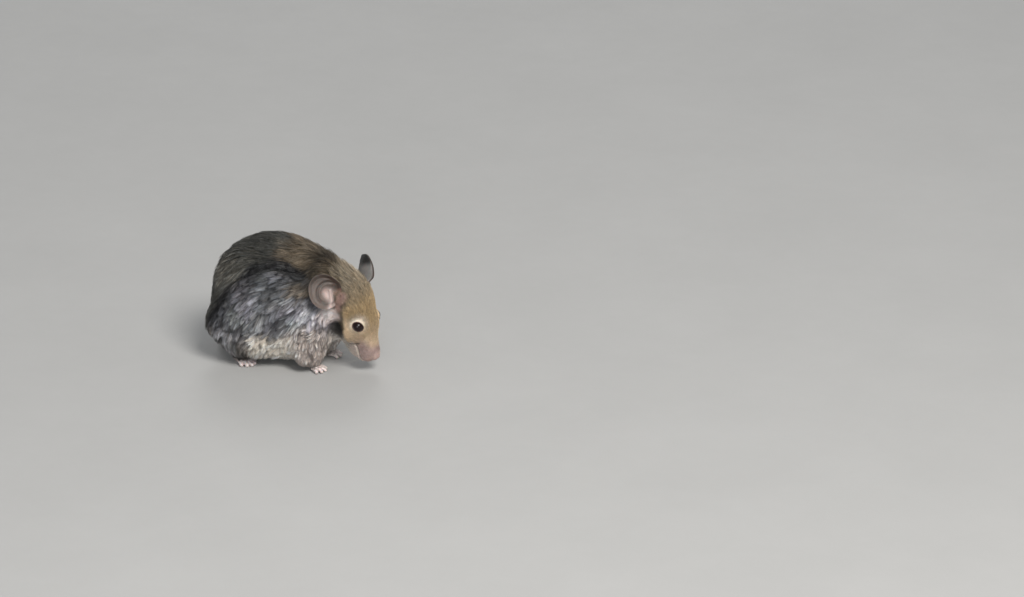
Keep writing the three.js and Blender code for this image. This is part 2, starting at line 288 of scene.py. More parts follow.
def bands(rings, around):
    """Corners of the faces between rings of points: each point, the next one round, and both a ring on."""
    first = np.arange(around)
    start = np.arange(rings - 1)[:, None] * around
    spot, after = (start + first).ravel(), (start + (first + 1) % around).ravel()
    return spot, after, after + around, spot + around


def ball(around, rings):
    """A round ball of radius 1 as points and faces, with its poles up and down."""
    tilt = np.pi * np.arange(1, rings)[:, None] / rings
    turn = 2 * np.pi * np.arange(around)[None] / around
    height = np.broadcast_to(np.cos(tilt), (rings - 1, around))
    belt = np.stack([np.sin(tilt) * np.cos(turn), np.sin(tilt) * np.sin(turn), height], -1).reshape(-1, 3)
    a, b, c, d = bands(rings - 1, around)
    first = np.arange(around)
    after, last = (first + 1) % around, (rings - 2) * around
    top = np.stack([np.full(around, len(belt)), first, after], 1)
    foot = np.stack([np.full(around, len(belt) + 1), last + after, last + first], 1)
    points = np.concatenate([belt, [[0, 0, 1], [0, 0, -1]]])
    return points, [np.concatenate([top, foot]), np.stack([a, d, c, b], 1)]


def rods(paths, radii, up, sides=3, twist=0.0):
    """Closed round rods that run to a point: paths (rods, stations, 3) and radii (rods, stations)."""
    count, stations, _ = paths.shape
    ahead = unit(np.gradient(paths, axis=1))
    across = unit(np.cross(np.broadcast_to(up[:, None], ahead.shape), ahead))
    other = np.cross(ahead, across)
    angle = 2 * np.pi * np.arange(sides) / sides + np.reshape(twist, (-1, 1, 1))
    spokes = across[:, :, None] * np.cos(angle)[..., None] + other[:, :, None] * np.sin(angle)[..., None]
    rings = paths[:, :-1, None] + spokes[:, :-1] * radii[:, :-1, None, None]
    each = (stations - 1) * sides + 1
    points = np.concatenate([rings.reshape(count, -1, 3), paths[:, -1:]], 1)
    first = (np.arange(count) * each)[:, None]
    walls = np.stack(bands(stations - 1, sides), 1)
    last = (stations - 2) * sides + np.arange(sides)
    after = (stations - 2) * sides + (np.arange(sides) + 1) % sides
    tips = np.stack([last, after, np.full(sides, each - 1)], 1)
    root = np.arange(sides)[::-1][None]
    faces = [(first[:, None] + part[None]).reshape(-1, part.shape[1]) for part in (walls, tips, root)]
    return points.reshape(-1, 3), faces, each


def joined(parts):
    """One mesh of several, which are done with."""
    bm = bmesh.new()
    for part in parts:
        bm.from_mesh(part)
        bpy.data.meshes.remove(part)
    whole = bpy.data.meshes.new("rough")
    bm.to_mesh(whole)
    bm.free()
    return whole


def remeshed(mesh, voxel):
    """The outer surface of a mesh of overlapping bodies, in even small faces."""
    item = placed("rough", mesh)
    change = item.modifiers.new("even", "REMESH")
    change.mode = "VOXEL"
    change.voxel_size = voxel
    even = bpy.data.meshes.new_from_object(item.evaluated_get(bpy.context.evaluated_depsgraph_get()))
    bpy.data.objects.remove(item)
    bpy.data.meshes.remove(mesh)
    return even


# ------------------------------------------------------------------ finishes
class Finish:
    """A node material: a shader with helpers that hang patterns on it, in millimetres of the piece."""

    def __init__(self, name, roughness, **constants):
        self.material = bpy.data.materials.new(name)
        self.material.use_nodes = True
        self.tree = self.material.node_tree
        self.shader = self.set(self.tree.nodes["Principled BSDF"], Roughness=roughness, **constants)
        self.place = self.scaled(self.new("TexCoord").outputs["Object"], 1 / MM)
        self.bumps = {}

    def feed(self, socket, value):
        """Links a socket to an output, or sets it to a constant."""
        if hasattr(value, "node"):
            self.tree.links.new(value, socket)
        else:
            socket.default_value = value

    def set(self, node, **inputs):
        for name, value in inputs.items():
            self.feed(node.inputs[name.replace("_", " ")], value)
        return node

    def new(self, kind, **inputs):
        return self.set(self.tree.nodes.new("ShaderNode" + kind), **inputs)

    def scaled(self, vector, factor):
        node = self.new("VectorMath")
        node.operation = "SCALE"
        return self.set(node, Vector=vector, Scale=factor).outputs[0]

    def noise(self, size, detail=3.0):
        node = self.new("TexNoise", Vector=self.place, Scale=1 / size, Detail=detail, Roughness=0.6)
        return node.outputs["Fac"]

    def cells(self, size):
        return self.new("TexVoronoi", Vector=self.place, Scale=1 / size).outputs["Distance"]

    def tone(self):
        """The colour that the piece carries."""
        node = self.new("Attribute")
        node.attribute_name = "tone"
        return node.outputs["Color"]

    def ranged(self, value, low, high):
        node = self.new("MapRange", Value=value, From_Min=0.25, From_Max=0.75, To_Min=low, To_Max=high)
        return node.outputs["Result"]

    def shaded(self, colour, value, low, high):
        """The colour made darker and lighter between two factors as the value runs from 0 to 1."""
        return self.scaled(colour, self.ranged(value, low, high))

    def mixed(self, share, *colours):
        """Two colours, mixed by a pattern."""
        node = self.new("Mix")
        node.data_type = "RGBA"
        for place, value in zip((0, 6, 7), (share, *((*colour, 1) for colour in colours))):
            self.feed(node.inputs[place], value)
        return node.outputs[2]

    def relief(self, value, depth):
        """Adds bumps of the given depth in millimetres."""
        node = self.new("Bump", Height=value, Distance=depth * MM, Strength=1.0, **self.bumps)
        self.bumps = {"Normal": node.outputs["Normal"]}

    def done(self, colour, rough, low, high):
        self.set(self.shader, Base_Color=colour, Roughness=self.ranged(rough, low, high), **self.bumps)
        return self.material


@cache  # each finish is made once
def hide_finish():
    """Skin under the coat: fine down on the face and bare pink at the nose and lids."""
    f = Finish("hide", 0.6, Subsurface_Weight=0.12, Subsurface_Scale=0.0006, Specular_IOR_Level=0.35)
    colour = f.tone()
    colour = f.shaded(colour, f.noise(0.9), 0.82, 1.16)
    colour = f.shaded(colour, f.noise(0.12, 2.0), 0.86, 1.12)
    f.relief(f.noise(0.16, 4.0), 0.05)
    f.relief(f.cells(0.22), 0.03)
    return f.done(colour, f.noise(0.4), 0.45, 0.68)


@cache
def bare_finish():
    """Thin bare skin of the ears, paws and tail."""
    f = Finish("bare_skin", 0.5, Subsurface_Weight=0.15, Subsurface_Scale=0.0005, Specular_IOR_Level=0.4)
    colour = f.tone()
    colour = f.shaded(colour, f.noise(1.6), 0.8, 1.15)
    colour = f.shaded(colour, f.noise(0.22, 4.0), 0.86, 1.12)
    f.relief(f.noise(0.35, 5.0), 0.07)
    f.relief(f.cells(0.16), 0.025)
    return f.done(colour, f.noise(0.5), 0.38, 0.62)


def hair_finish(name, gloss, low, high):
    f = Finish(name, (low + high) / 2, Specular_IOR_Level=gloss)
    colour = f.tone()
    colour = f.shaded(colour, f.noise(0.7, 2.0), 0.86, 1.14)
    f.relief(f.noise(0.05, 2.0), 0.01)
    return f.done(colour, f.noise(2.5), low, high)


@cache
def dry_finish():
    """Dry hair: its colour comes with the strand."""
    return hair_finish("dry_coat", 0.35, 0.45, 0.65)


@cache
def wet_finish():
    """Damp locks that catch the light."""
    return hair_finish("wet_coat", 0.6, 0.26, 0.42)


def plain_finish(name, roughness, pair, grain, bumps, rough, low, high, **constants):
    """A finish of two close colours, with fine bumps."""
    f = Finish(name, roughness, **constants)
    colour = f.mixed(f.noise(grain), *pair)
    f.relief(f.noise(bumps[0]), bumps[1])
    return f.done(colour, f.noise(rough), low, high)


@cache
def eye_finish():
    dark = colours()["eye"]
    return plain_finish("eye_gloss", 0.05, (dark, 1.3 * dark), 0.8, (0.5, 0.002), 0.6, 0.03, 0.07, IOR=1.36)


@cache
def claw_finish():
    pale = colours()["claw"]
    depth = {"Subsurface_Weight": 0.2, "Subsurface_Scale": 0.0004}
    return plain_finish("claw_horn", 0.35, (pale, 0.7 * pale), 0.4, (0.1, 0.01), 0.3, 0.28, 0.45, **depth)


@cache
def whisker_finish():
    pale_and_dark = (0.55, 0.5, 0.44), (0.2, 0.17, 0.14)
    return plain_finish("whisker_hair", 0.35, pale_and_dark, 2.0, (0.1, 0.002), 0.8, 0.28, 0.4)


# ------------------------------------------------------------------ the skin
COATS = {  # loft of the coat over the skin, length of its hairs, dampness; by node, in millimetres
    "trunk": (2.1, 5.4, 0.9),
    "neck": (1.9, 4.4, 0.2),
    "head": (0.72, 2.0, 0.0),
    "lower_jaw": (0.45, 1.6, 0.1),
    "nose": (0.05, 0.5, 0.0),
    "foreleg": (1.0, 2.6, 0.75),
    "hind_leg": (1.7, 4.6, 0.95),
}
SWELL = 0.3  # closes the gaps between the nodes
GRAIN = 0.372  # face size of the skin


def rough_flesh():
    """The nodes of flesh and the eyes as one mesh of overlapping bodies, in millimetres."""
    parts = []
    for node in (*FLESH, "eye_right", "eye_left"):
        bm = bmesh.new()
        bm.from_mesh(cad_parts[node].data)
        bmesh.ops.remove_doubles(bm, verts=bm.verts, dist=1e-6)
        bm.normal_update()
        for vertex in bm.verts:
            vertex.co = vertex.co / MM + vertex.normal * SWELL
        parts.append(bpy.data.meshes.new("part"))
        bm.to_mesh(parts[-1])
        bm.free()
    return joined(parts)


def shares(points):
    """How much each point belongs to each node of flesh, by nearness."""
    reach = 0.9
    weights = []
    for node in FLESH:
        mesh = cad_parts[node].data
        faces = [list(face.vertices) for face in mesh.polygons]
        tree = BVHTree.FromPolygons((points_of(mesh) / MM).tolist(), faces)
        near = [tree.find_nearest(point)[3] for point in points]
        weights.append(np.exp(-np.array(near) / reach))
    weights = np.stack(weights, 1)
    weights /= weights.sum(1, keepdims=True)
    by_node = dict(zip(FLESH, weights.T))
    by_node["foreleg"] = by_node["foreleg_right"] + by_node["foreleg_left"]
    by_node["hind_leg"] = by_node["hind_leg_right"] + by_node["hind_leg_left"]
    by_node["face"] = by_node["head"] + by_node["lower_jaw"] + by_node["nose"]
    return by_node


def coat_fields(points, share):
    """Loft, length and dampness of the coat at each point."""
    fields = sum(share[node][:, None] * np.array(values) for node, values in COATS.items())
    loft, length, damp = fields.T
    ahead = head.of(points)[:, 0]
    face = share["face"]
    shorter = mix([1.0], [0.3], smooth(ahead, -14.0, -4.0) ** 0.8 * (face - 0.5 * share["lower_jaw"]))[:, 0]
    low = 1 - 0.55 * smooth(points[:, 2], 11.0, 3.0) * (share["foreleg"] + share["hind_leg"])
    under = 1 - 0.3 * smooth(points[:, 2], 12.0, 6.0) * share["trunk"]
    dry = smooth(points[:, 2] - crease(points[:, 0]), -0.8, 1.2) * (share["trunk"] + share["hind_leg"])
    damp = damp * (1 - 0.72 * dry)
    around_eyes = np.prod([smooth(eye.away(points), 1.75, 2.8) for eye in EYES.values()], axis=0)
    step = 1 - 0.35 * ridge(points[:, 2] - crease(points[:, 0]) + 1.6, 1.5) * share["trunk"]
    loft = loft * shorter * low * under * around_eyes * step * (1 + 0.25 * dry - 0.12 * damp)
    bare = smooth(by_ear(points), 0.9, 2.2)
    loft, length = loft * (0.25 + 0.75 * bare), length * (0.25 + 0.75 * bare)
    cheek = 1 - 0.4 * ridge(jowl(points), 1.3) * face * smooth(head.of(points)[:, 2], 4.0, 2.5)
    length = length * shorter * low * under * (0.3 + 0.7 * around_eyes) * cheek
    return loft, length, damp


def refine(mesh, chosen):
    """Splits the faces whose points are all chosen into four."""
    bm = bmesh.new()
    bm.from_mesh(mesh)
    bm.verts.ensure_lookup_table()
    edges = [e for e in bm.edges if chosen[e.verts[0].index] and chosen[e.verts[1].index]]
    bmesh.ops.subdivide_edges(bm, edges=edges, cuts=1, use_grid_fill=True)
    bm.to_mesh(mesh)
    bm.free()


def set_lids(points):
    """Draws the skin round each eyeball and opens it, leaving a rim of lid."""
    for eye in EYES.values():
        away = eye.away(points)
        ray, angle, opening, _ = eye.lids(points)
        rim = 0.14 * ridge(angle - opening - 7, 7)
        lid = EYE_RADIUS + 0.1 + rim
        near = 0.9 * smooth(angle, opening + 42, opening + 8)
        hug = mix(np.maximum(away, lid)[:, None], lid[:, None], near)[:, 0]
        target = hug + (0.78 * EYE_RADIUS - hug) * smooth(angle, opening + 3, opening - 3)
        fade = smooth(away, EYE_RADIUS + 1.6, EYE_RADIUS + 0.6) * smooth(angle, 120, 95)
        points = points + ray * ((target - away) * fade)[:, None]
    return points


LIPS = (-1.3, -6.0)  # from the front of the mouth to its corner, ahead of the head's origin
MOUTH_FOLD = ((-5.7, 0.4), (-6.5, -1.9), (-7.3, -4.3))  # from the corner down to the throat, ahead and up


def lip_height(ahead):
    return -1.9 + 1.3 * smooth(ahead, -1.6, -5.2)


def mouth_fold(points):
    x, y, z = head.of(points).T
    return beside(x, z, MOUTH_FOLD) + smooth(np.abs(y), 1.0, 0.4) + 3 * smooth(np.abs(y), 5.0, 6.0)


def set_muzzle(points):
    """Nostrils, the split of the upper lip and the line of the mouth."""
    x, y, z = head.of(points).T
    inward = np.zeros(len(points))
    aside = np.abs(y)
    lip = z - lip_height(x)
    mouth = smooth(x, LIPS[1] - 0.6, LIPS[1] + 0.8) * smooth(aside, 3.9, 3.2) * smooth(x, 0.4, -0.4)
    for depth, above, width in ((0.34, 0, 0.17), (-0.14, 0.5, 0.35), (-0.16, -0.5, 0.35)):
        inward += depth * ridge(lip - above, width) * mouth
    inward += 0.3 * ridge(mouth_fold(points), 0.26)
    split = ridge(aside, 0.13) * smooth(z, -2.9, -2.3) * smooth(z, 0.2, -0.3) * smooth(x, -2.6, -1.6)
    inward += 0.22 * split
    ring = np.hypot(y / 1.12, (z - 0.35) / 0.98)
    nose = smooth(x, -2.4, -1.3)
    inward += 0.1 * ridge(ring - 1.12, 0.14) * nose
    slot = np.hypot((aside - 0.58 - 0.25 * (z - 0.2)) / 0.24, (z - 0.3) / 0.36)
    inward += 0.5 * smooth(slot, 1.5, 0.35) * nose
    inward -= 0.1 * ridge(slot - 1.55, 0.4) * nose
    return points - unit(points - head.at(-3.2, 0, -0.6)) * inward[:, None]


def lie_of(points, normals, share):
    """Which way the coat lies: back from the nose, along the body and down the flanks and legs."""
    x, _, z = points.T
    s = np.tanh((points[:, 1] - MIDLINE) / 3.0)[:, None]
    back, up, out = np.array([-1.0, 0, 0]), np.array([0, 0, 1.0]), np.array([0, 1.0, 0]) * s
    falling = (0.1 + 0.34 * smooth(z, 34, 28) + 0.55 * smooth(z, 27, 19) - 0.45 * smooth(z, 12, 6))[:, None]
    rear = smooth(x, -8, -18)[:, None]
    shoulder = (smooth(x, 2, 9) * smooth(z, 26, 19))[:, None]
    dry = (smooth(z - crease(x), -1.5, 1.0) * smooth(x, -7, 0))[:, None]
    trunk = back * (1 - 0.5 * rear - 0.45 * shoulder - 0.5 * dry)
    trunk = trunk - up * (falling + 0.6 * rear + 0.5 * shoulder + 0.35 * dry)
    edge = ridge(z - crease(x) - 0.9, 1.5) * smooth(x, 8, 4)
    trunk = mix(trunk, unit(back + up * (0.104 * (x + 2.5))[:, None] + out * 0.12), 0.9 * edge)
    low = smooth(z, 11, 5)[:, None]
    hind = back * (0.62 - 0.8 * low) - up + out * 0.1
    elbow = spot(points, 8.2, 7.5, 13.2, (3.2, 4.5, 2.4))[:, None]
    fore = back * (0.55 * smooth(z, 9, 15)[:, None] - 0.1 + 1.3 * elbow) - up * (1 - 0.75 * elbow)
    neck = back * 0.8 + up * (smooth(z, 20, 26) * 1.2 - 0.7)[:, None] + out * 0.12
    ahead = head.of(points)[:, 0][:, None]
    under = smooth(head.of(points)[:, 2], 2.5, -1.5)[:, None] * smooth(ahead, -6, -10)
    face = -head.x + head.y * s * (0.12 + 0.25 * smooth(ahead, -6, -2)) - head.z * (0.12 + 0.9 * under)
    raw = trunk * share["trunk"][:, None] + hind * share["hind_leg"][:, None]
    raw = raw + fore * share["foreleg"][:, None] + neck * share["neck"][:, None]
    raw = raw + face * share["face"][:, None]
    body = (share["trunk"] + share["hind_leg"] + share["foreleg"])[:, None]
    swirl = (drift(points, 6.0, 3) * 0.4 + drift(points, 2.4, 4) * 0.28)[:, None] * (0.5 + 0.5 * body)
    raw = raw + np.cross(normals, unit(raw)) * swirl
    return flat_to(raw, normals)


def spot(points, x, aside, z, reach):
    """1 about a place of the body, on both sides of it, falling to 0 by the reach in the three directions."""
    place = np.stack([points[:, 0] - x, np.abs(points[:, 1] - MIDLINE) - aside, points[:, 2] - z], 1)
    return smooth(np.linalg.norm(place / reach, axis=1), 1.25, 0.6)


def hollow(points):
    """The shaded hollow between the cheek and the foreleg, deepest on the side that the head turns to."""
    left = smooth(points[:, 1], MIDLINE - 2, MIDLINE + 2)
    return spot(points, 13.8, 5.8, 12.7, (2.6, 3.8, 3.9)) * (1 - 0.65 * left)


def beside_line(points, start, end):
    """How far each point is from the straight line between two places."""
    line = end - start
    t = np.clip((points - start) @ line / (line @ line), 0, 1)[:, None]
    return np.linalg.norm(points - start - t * line, axis=1)


def beside(across, up, route):
    """How far each place is from a route of short straight lines."""
    place = np.stack([across, up], 1)
    route = np.array(route)
    return np.min([beside_line(place, a, b) for a, b in zip(route, route[1:])], axis=0)


def jowl(points):
    """Above 0 on the face and below 0 behind the edge of the cheek."""
    x, _, z = head.of(points).T
    return z - 3.4 + 0.76 * (x + 15)


def by_ear(points):
    """How far each point is from the bare pink skin ahead of each ear."""
    lines = [(head.at(-18.3, 5.0 * s, 4.8), head.at(-16.5, 6.4 * s, 2.5)) for s in SIDES.values()]
    return np.min([beside_line(points, a, b) for a, b in lines], axis=0)


def back_tone(points, c):
    """Dark olive at the rear, golden brown at the shoulders, with a dark fold across the nape."""
    x, y, z = points.T
    aside = np.abs(y - MIDLINE)
    streak = drift(points * (1, 1, 0.4), 1.6, 14)
    tone = mix(c["rump"], c["back"], smooth(x + 1.5 * drift(points, 3.0, 15), -4.0, 0.8))
    pale = 0.42 * spot(points, -15.5, 8.5, 27.8, (6.5, 7, 4.2)) * (1 + 0.7 * streak)
    tone = tone * (1 + 0.36 * streak + pale)[:, None]
    gold = 0.12 * spot(points, -15.5, 8.5, 27.6, (4.6, 5, 3.4)) * (1 + streak)
    gold = np.maximum(gold, 0.4 * spot(points, -1.2, 8.5, 33.4, (2.2, 5, 2.6)))
    tone = mix(tone, c["back"], np.clip(gold, 0, 1))
    # Painted shade in the fold between the back and the head.
    fold = ridge(x + 0.38 * aside - 9.6, 1.9 + 0.9 * smooth(aside, 5, 1)) * smooth(z, 24, 28)
    return darker(tone, 0.72 * fold)


FLANK_PATCHES = (  # middle, reach in the three directions, brightness beside the rest
    ((7.6, 10.0, 18.0), (4.2, 6, 4.6), 1.8),
    ((4.3, 11.4, 13.3), (2.2, 4, 3.8), 1.7),
    ((-16.6, 13.4, 9.6), (4.2, 4, 2.0), 2.6),
    ((-12.9, 14.5, 12.0), (1.1, 3, 2.6), 0.5),
    ((6.4, 10.8, 12.2), (1.2, 4, 2.6), 0.5),
)


def flank_tone(points, c):
    """Wet grey, darker under the crease and at the rear, with pale places at the shoulder."""
    x, _, z = points.T
    below = crease(x) - z
    # Painted shade under the crease, lifting further down the flank.
    shade = (0.37 + 0.71 * smooth(below, 2, 10)) * (1 + 0.25 * drift(points, 4.5, 12))
    shade = shade * (1 - 0.42 * smooth(x, -12.5, -18.5))
    for place, reach, factor in FLANK_PATCHES:
        shade = shade * (1 + (factor - 1) * spot(points, *place, reach))
    lilac, teal = drift(points, 3.4, 31)[:, None], drift(points, 2.8, 32)[:, None]
    tint = 1 + 0.045 * lilac * np.array([0.4, -0.6, 1.2]) + 0.04 * teal * np.array([-1.0, 0.4, 0.3])
    tone = c["flank"] * tint * shade[:, None]
    return mix(tone, c["back"] * 1.3, spot(points, 5.5, 10.0, 24.8, (4.5, 4, 2.6)) * 0.7)


def face_tone(points, c, share):
    """Golden crown, buff cheeks, and a pinkish muzzle over a pale chin."""
    hx, hy, hz = head.of(points).T
    side = smooth(np.abs(hy), 2.2, 4.6) * smooth(hz, 4.2, 1.5)
    lip = hz - lip_height(hx)
    chin = smooth(lip, 0.2, -0.2) * smooth(hx, -7.6, -6.4)
    tone = painted(
        c["head"],
        (c["nape"], smooth(hx, -13.0, -18.5) * 0.8),
        (c["cheek"], side * 0.85),
        (c["snout"], smooth(hx, -10.5, -6.0) * (0.6 + 0.4 * smooth(hz, 4.5, 2.0))),
        (c["muzzle"], smooth(hx, -7.4, -4.4) * smooth(hz, 3.0, 0.9)),
        (c["muzzle"], smooth(hx, -3.6, -1.8)),
        (c["bare"], smooth(hx, -1.7, -0.9) * smooth(hz, -1.5, -0.8)),
        (c["chin"], np.maximum(chin, share["lower_jaw"] * smooth(hz, -1.5, -2.6)) * 0.9),
    )
    # Painted shade along the line of the mouth and down the fold from its corner.
    line = ridge(lip, 0.22) * smooth(hx, LIPS[1] - 0.6, LIPS[1] + 0.6) * smooth(hx, -0.6, -1.4)
    return darker(tone, 0.6 * np.maximum(line, ridge(mouth_fold(points), 0.34)))


def colours():
    """The colours set for the mouse, by name."""
    return {name: np.array(getattr(bpy.context.scene.mouse_colours, name)) for name in COLOURS}


def tones(points, share):
    """The markings, as linear colours: the skin and the coat both take them from here."""
    c = colours()
    x, _, z = points.T
    hx, _, hz = head.of(points).T
    hx = hx + 0.6 * drift(points, 1.5, 17)
    above = z - crease(x) + 0.7 * drift(points, 3.5, 5)
    tone = mix(flank_tone(points, c), back_tone(points, c), smooth(above, -0.9, 0.6))
    # Painted shade along the crease, where the dry back overhangs the wet flank.
    edge = ridge(above + 1.2, 1.2) * smooth(x, 9, 3)
    belly = smooth(z + 1.4 * drift(points, 2.6, 6), 13.0, 9.0)
    haunch = share["hind_leg"] * smooth(x, -8.3, -10.2)
    belly = belly * (1 - 0.9 * haunch) * (1 - 0.3 * smooth(x, 2, 6))
    shin = haunch * smooth(z, 10.5, 8) * smooth(x, -14.5, -12.5)
    front = jowl(points) + 0.3 * drift(points, 1.4, 16)
    behind = smooth(front, 0.4, -0.4)
    face = smooth(front, -0.5, 0.4) * smooth(share["trunk"] + share["foreleg"], 0.7, 0.3)
    tone = painted(
        darker(tone, 0.86 * edge),
        (c["belly"], belly),
        (c["shin"], shin * 0.9),
        (c["forearm"], share["foreleg"] * smooth(z, 16, 12)),
        (c["nape"], smooth(hz, 2.6, 4.4) * smooth(hx, -26.5, -24.0) * (1 - share["trunk"] * 0.4)),
        (c["nape"], share["neck"] * smooth(front, -3.5, -1.5)),
        (face_tone(points, c, share), face),
        (c["muzzle"] * (1.12, 1.0, 0.94), smooth(by_ear(points), 1.75, 0.7) * 0.9),
    )
    # Painted shade along a fold by the foot of each ear.
    for s in SIDES.values():
        fold = beside_line(points, head.at(-17.5, 4.1 * s, 6.1), head.at(-16.2, 5.9 * s, 3.8))
        tone = darker(tone, 0.7 * ridge(fold, 0.38))
    tone = mix(tone, c["patch"], spot(points, 12.6, 6.6, 17.5, (3.3, 5.0, 2.6)) * behind)
    shaded = hollow(points) * behind * (1 - 0.6 * share["foreleg"])
    tone = tone * (1 - np.outer(shaded, (0.79, 0.805, 0.83)))
    for side, eye in EYES.items():
        near = eye.away(points)
        _, angle, opening, turn = eye.lids(points)
        below = 0.5 - 0.5 * np.sin(turn + 0.6)  # the pale ring is widest behind and below
        pale = (0.2 + 0.8 * below) * PALE_RING[side]
        tone = mix(tone, c["lid"], smooth(near, 3.0 + 1.6 * below, 2.0) * pale)
        tone = mix(tone, c["eye"] * 4, smooth(angle, opening + 9, opening + 4) * smooth(near, 2.2, 2.0))
    return np.clip(tone, 0.004, 0.95)


class Pelt:
    """A skin and what the coat needs to know of it, point by point."""

    body = None
    paws = {}

    def __init__(self, mesh, fields):
        """Fields gives the loft, length and dampness of the coat, its lie, its tone and the nodes' shares."""
        self.points, self.normals = points_of(mesh) / MM, normals_of(mesh)
        self.loft, self.length, self.damp, lie, self.tone, self.share = fields(self.points, self.normals)
        self.lie = flat_to(relax(lie, edges_of(mesh), 12), self.normals)
        mesh.calc_loop_triangles()
        self.loops = numbers(mesh.loop_triangles, "loops", 3, np.int32)
        self.triangles = corners_of(mesh)[self.loops]
        self.unwrap = numbers(mesh.uv_layers["OFBake"].data, "uv", 2)

    def of_nodes(self, nodes):
        """How much each point belongs to any of the nodes of flesh."""
        return self.share[:, [FLESH.index(node) for node in nodes]].sum(1)


def body_fields(points, normals):
    share = shares(points)
    table = np.stack([share[node] for node in FLESH], 1)
    return *coat_fields(points, share), lie_of(points, normals, share), tones(points, share), table


def make_skin():
    even = remeshed(rough_flesh(), GRAIN)
    points, edges = points_of(even), edges_of(even)
    points = relax(points, edges, 10)
    share = shares(points)
    face = share["face"]
    soft = np.clip(1 - face * 1.4, 0, 1)[:, None]
    points = relax(points, edges, 45, 0.5 * soft)
    move_points(even, points)
    loft = coat_fields(points, share)[0]
    behind = smooth(jowl(points), 0.2, -1.0) * hollow(points)
    fold = ridge(points[:, 2] - crease(points[:, 0]) + 1.3, 0.9) * smooth(points[:, 0], 9, 4)
    x, _, z = head.of(points).T
    crown = smooth(x, -11, -17) * smooth(z, 1.5, 4.0) * smooth(x, -33, -28)
    elbow = spot(points, 5.4, 7.5, 4.4, (2.8, 4.5, 2.6)) * share["foreleg"]
    rump = spot(points, -17.5, 8.0, 27.5, (6, 7, 7))
    raised = 0.4 * crown + elbow + 0.9 * rump - 0.9 * fold * share["trunk"]
    depth = relax((0.55 * loft + 0.12 + SWELL + 1.1 * behind - raised)[:, None], edges, 5)
    points = points - normals_of(even) * depth
    points = relax(points, edges, 3)
    move_points(even, points)
    x = head.of(points)[:, 0]
    refine(even, (x > -14) & (face > 0.5))
    points = points_of(even)
    x, _, z = head.of(points).T
    eyes = np.min([eye.away(points) for eye in EYES.values()], axis=0)
    refine(even, (eyes < 2.9) | ((x > -8.2) & (z < -1.2) & (z > -4.6)) | (x > -3.4))
    points = relax(points_of(even), edges_of(even), 3, 0.4)
    points = set_muzzle(set_lids(points))
    points = relax(points, edges_of(even), 1, 0.25)
    move_points(even, points * MM)
    even.name = "skin"
    even.shade_smooth()
    item = piece(even, hide_finish(), FLESH)
    unwrap(item)
    Pelt.body = Pelt(even, body_fields)
    coat_shade = smooth(Pelt.body.length, 0.5, 2.4) * (1 - 0.6 * Pelt.body.of_nodes(FACE))
    coat_shade = coat_shade * (1 - 0.95 * paleness(Pelt.body.tone))
    store_tone(even, darker(Pelt.body.tone, 0.6 * coat_shade))  # painted shade deep between the hairs


def unwrap(item):
    """Lays the skin's own shape out flat in the map OFBake."""
    item.data.uv_layers.new(name="OFBake")
    bpy.context.view_layer.objects.active = item
    item.select_set(True)
    bpy.ops.object.mode_set(mode="EDIT")
    bpy.ops.mesh.select_all(action="SELECT")
    bpy.ops.uv.smart_project(angle_limit=math.radians(66), island_margin=0.002)
    bpy.ops.object.mode_set(mode="OBJECT")
    item.select_set(False)


# ------------------------------------------------------------------ the coat
FACE = ("head", "lower_jaw", "nose")
WET = ("flank", "haunch", "belly", "foreleg")
HAIRS = {  # how many hairs, steps along each, and how closely they draw together
    "body": (43500, 4, 1.2),
    "face": (27500, 3, 1.9),
    "forepaw": (1100, 3, 1.0),
    "hind_foot": (1900, 3, 1.0),
}


def lay_roots(pelt, wanted, count, random):
    """Scatters hair roots where they are wanted and reads the skin's fields there."""
    corner = pelt.triangles
    a, b, c = (pelt.points[corner[:, i]] for i in range(3))
    area = np.linalg.norm(np.cross(b - a, c - a), axis=1) / 2
    chance = area * (wanted * (pelt.loft > 0.05))[corner].mean(1)
    picked = random.choice(len(corner), count, p=chance / chance.sum())
    u, v = random.random((2, count))
    fold = u + v > 1
    u, v = np.where(fold, 1 - u, u), np.where(fold, 1 - v, v)
    weights = np.stack([1 - u - v, u, v], 1)

    def read(values):
        return np.einsum("nk,nkd->nd", weights, values[corner[picked]].reshape(count, 3, -1))

    root = {name: read(getattr(pelt, name)) for name in ("points", "normals", "lie", "tone", "share")}
    root.update({name: read(getattr(pelt, name))[:, 0] for name in ("loft", "length", "damp")})
    root["unwrap"] = np.einsum("nk,nkd->nd", weights, pelt.unwrap[pelt.loops[picked]])
    root["normals"] = unit(root["normals"])
    root["lie"] = flat_to(root["lie"], root["normals"])
    return root


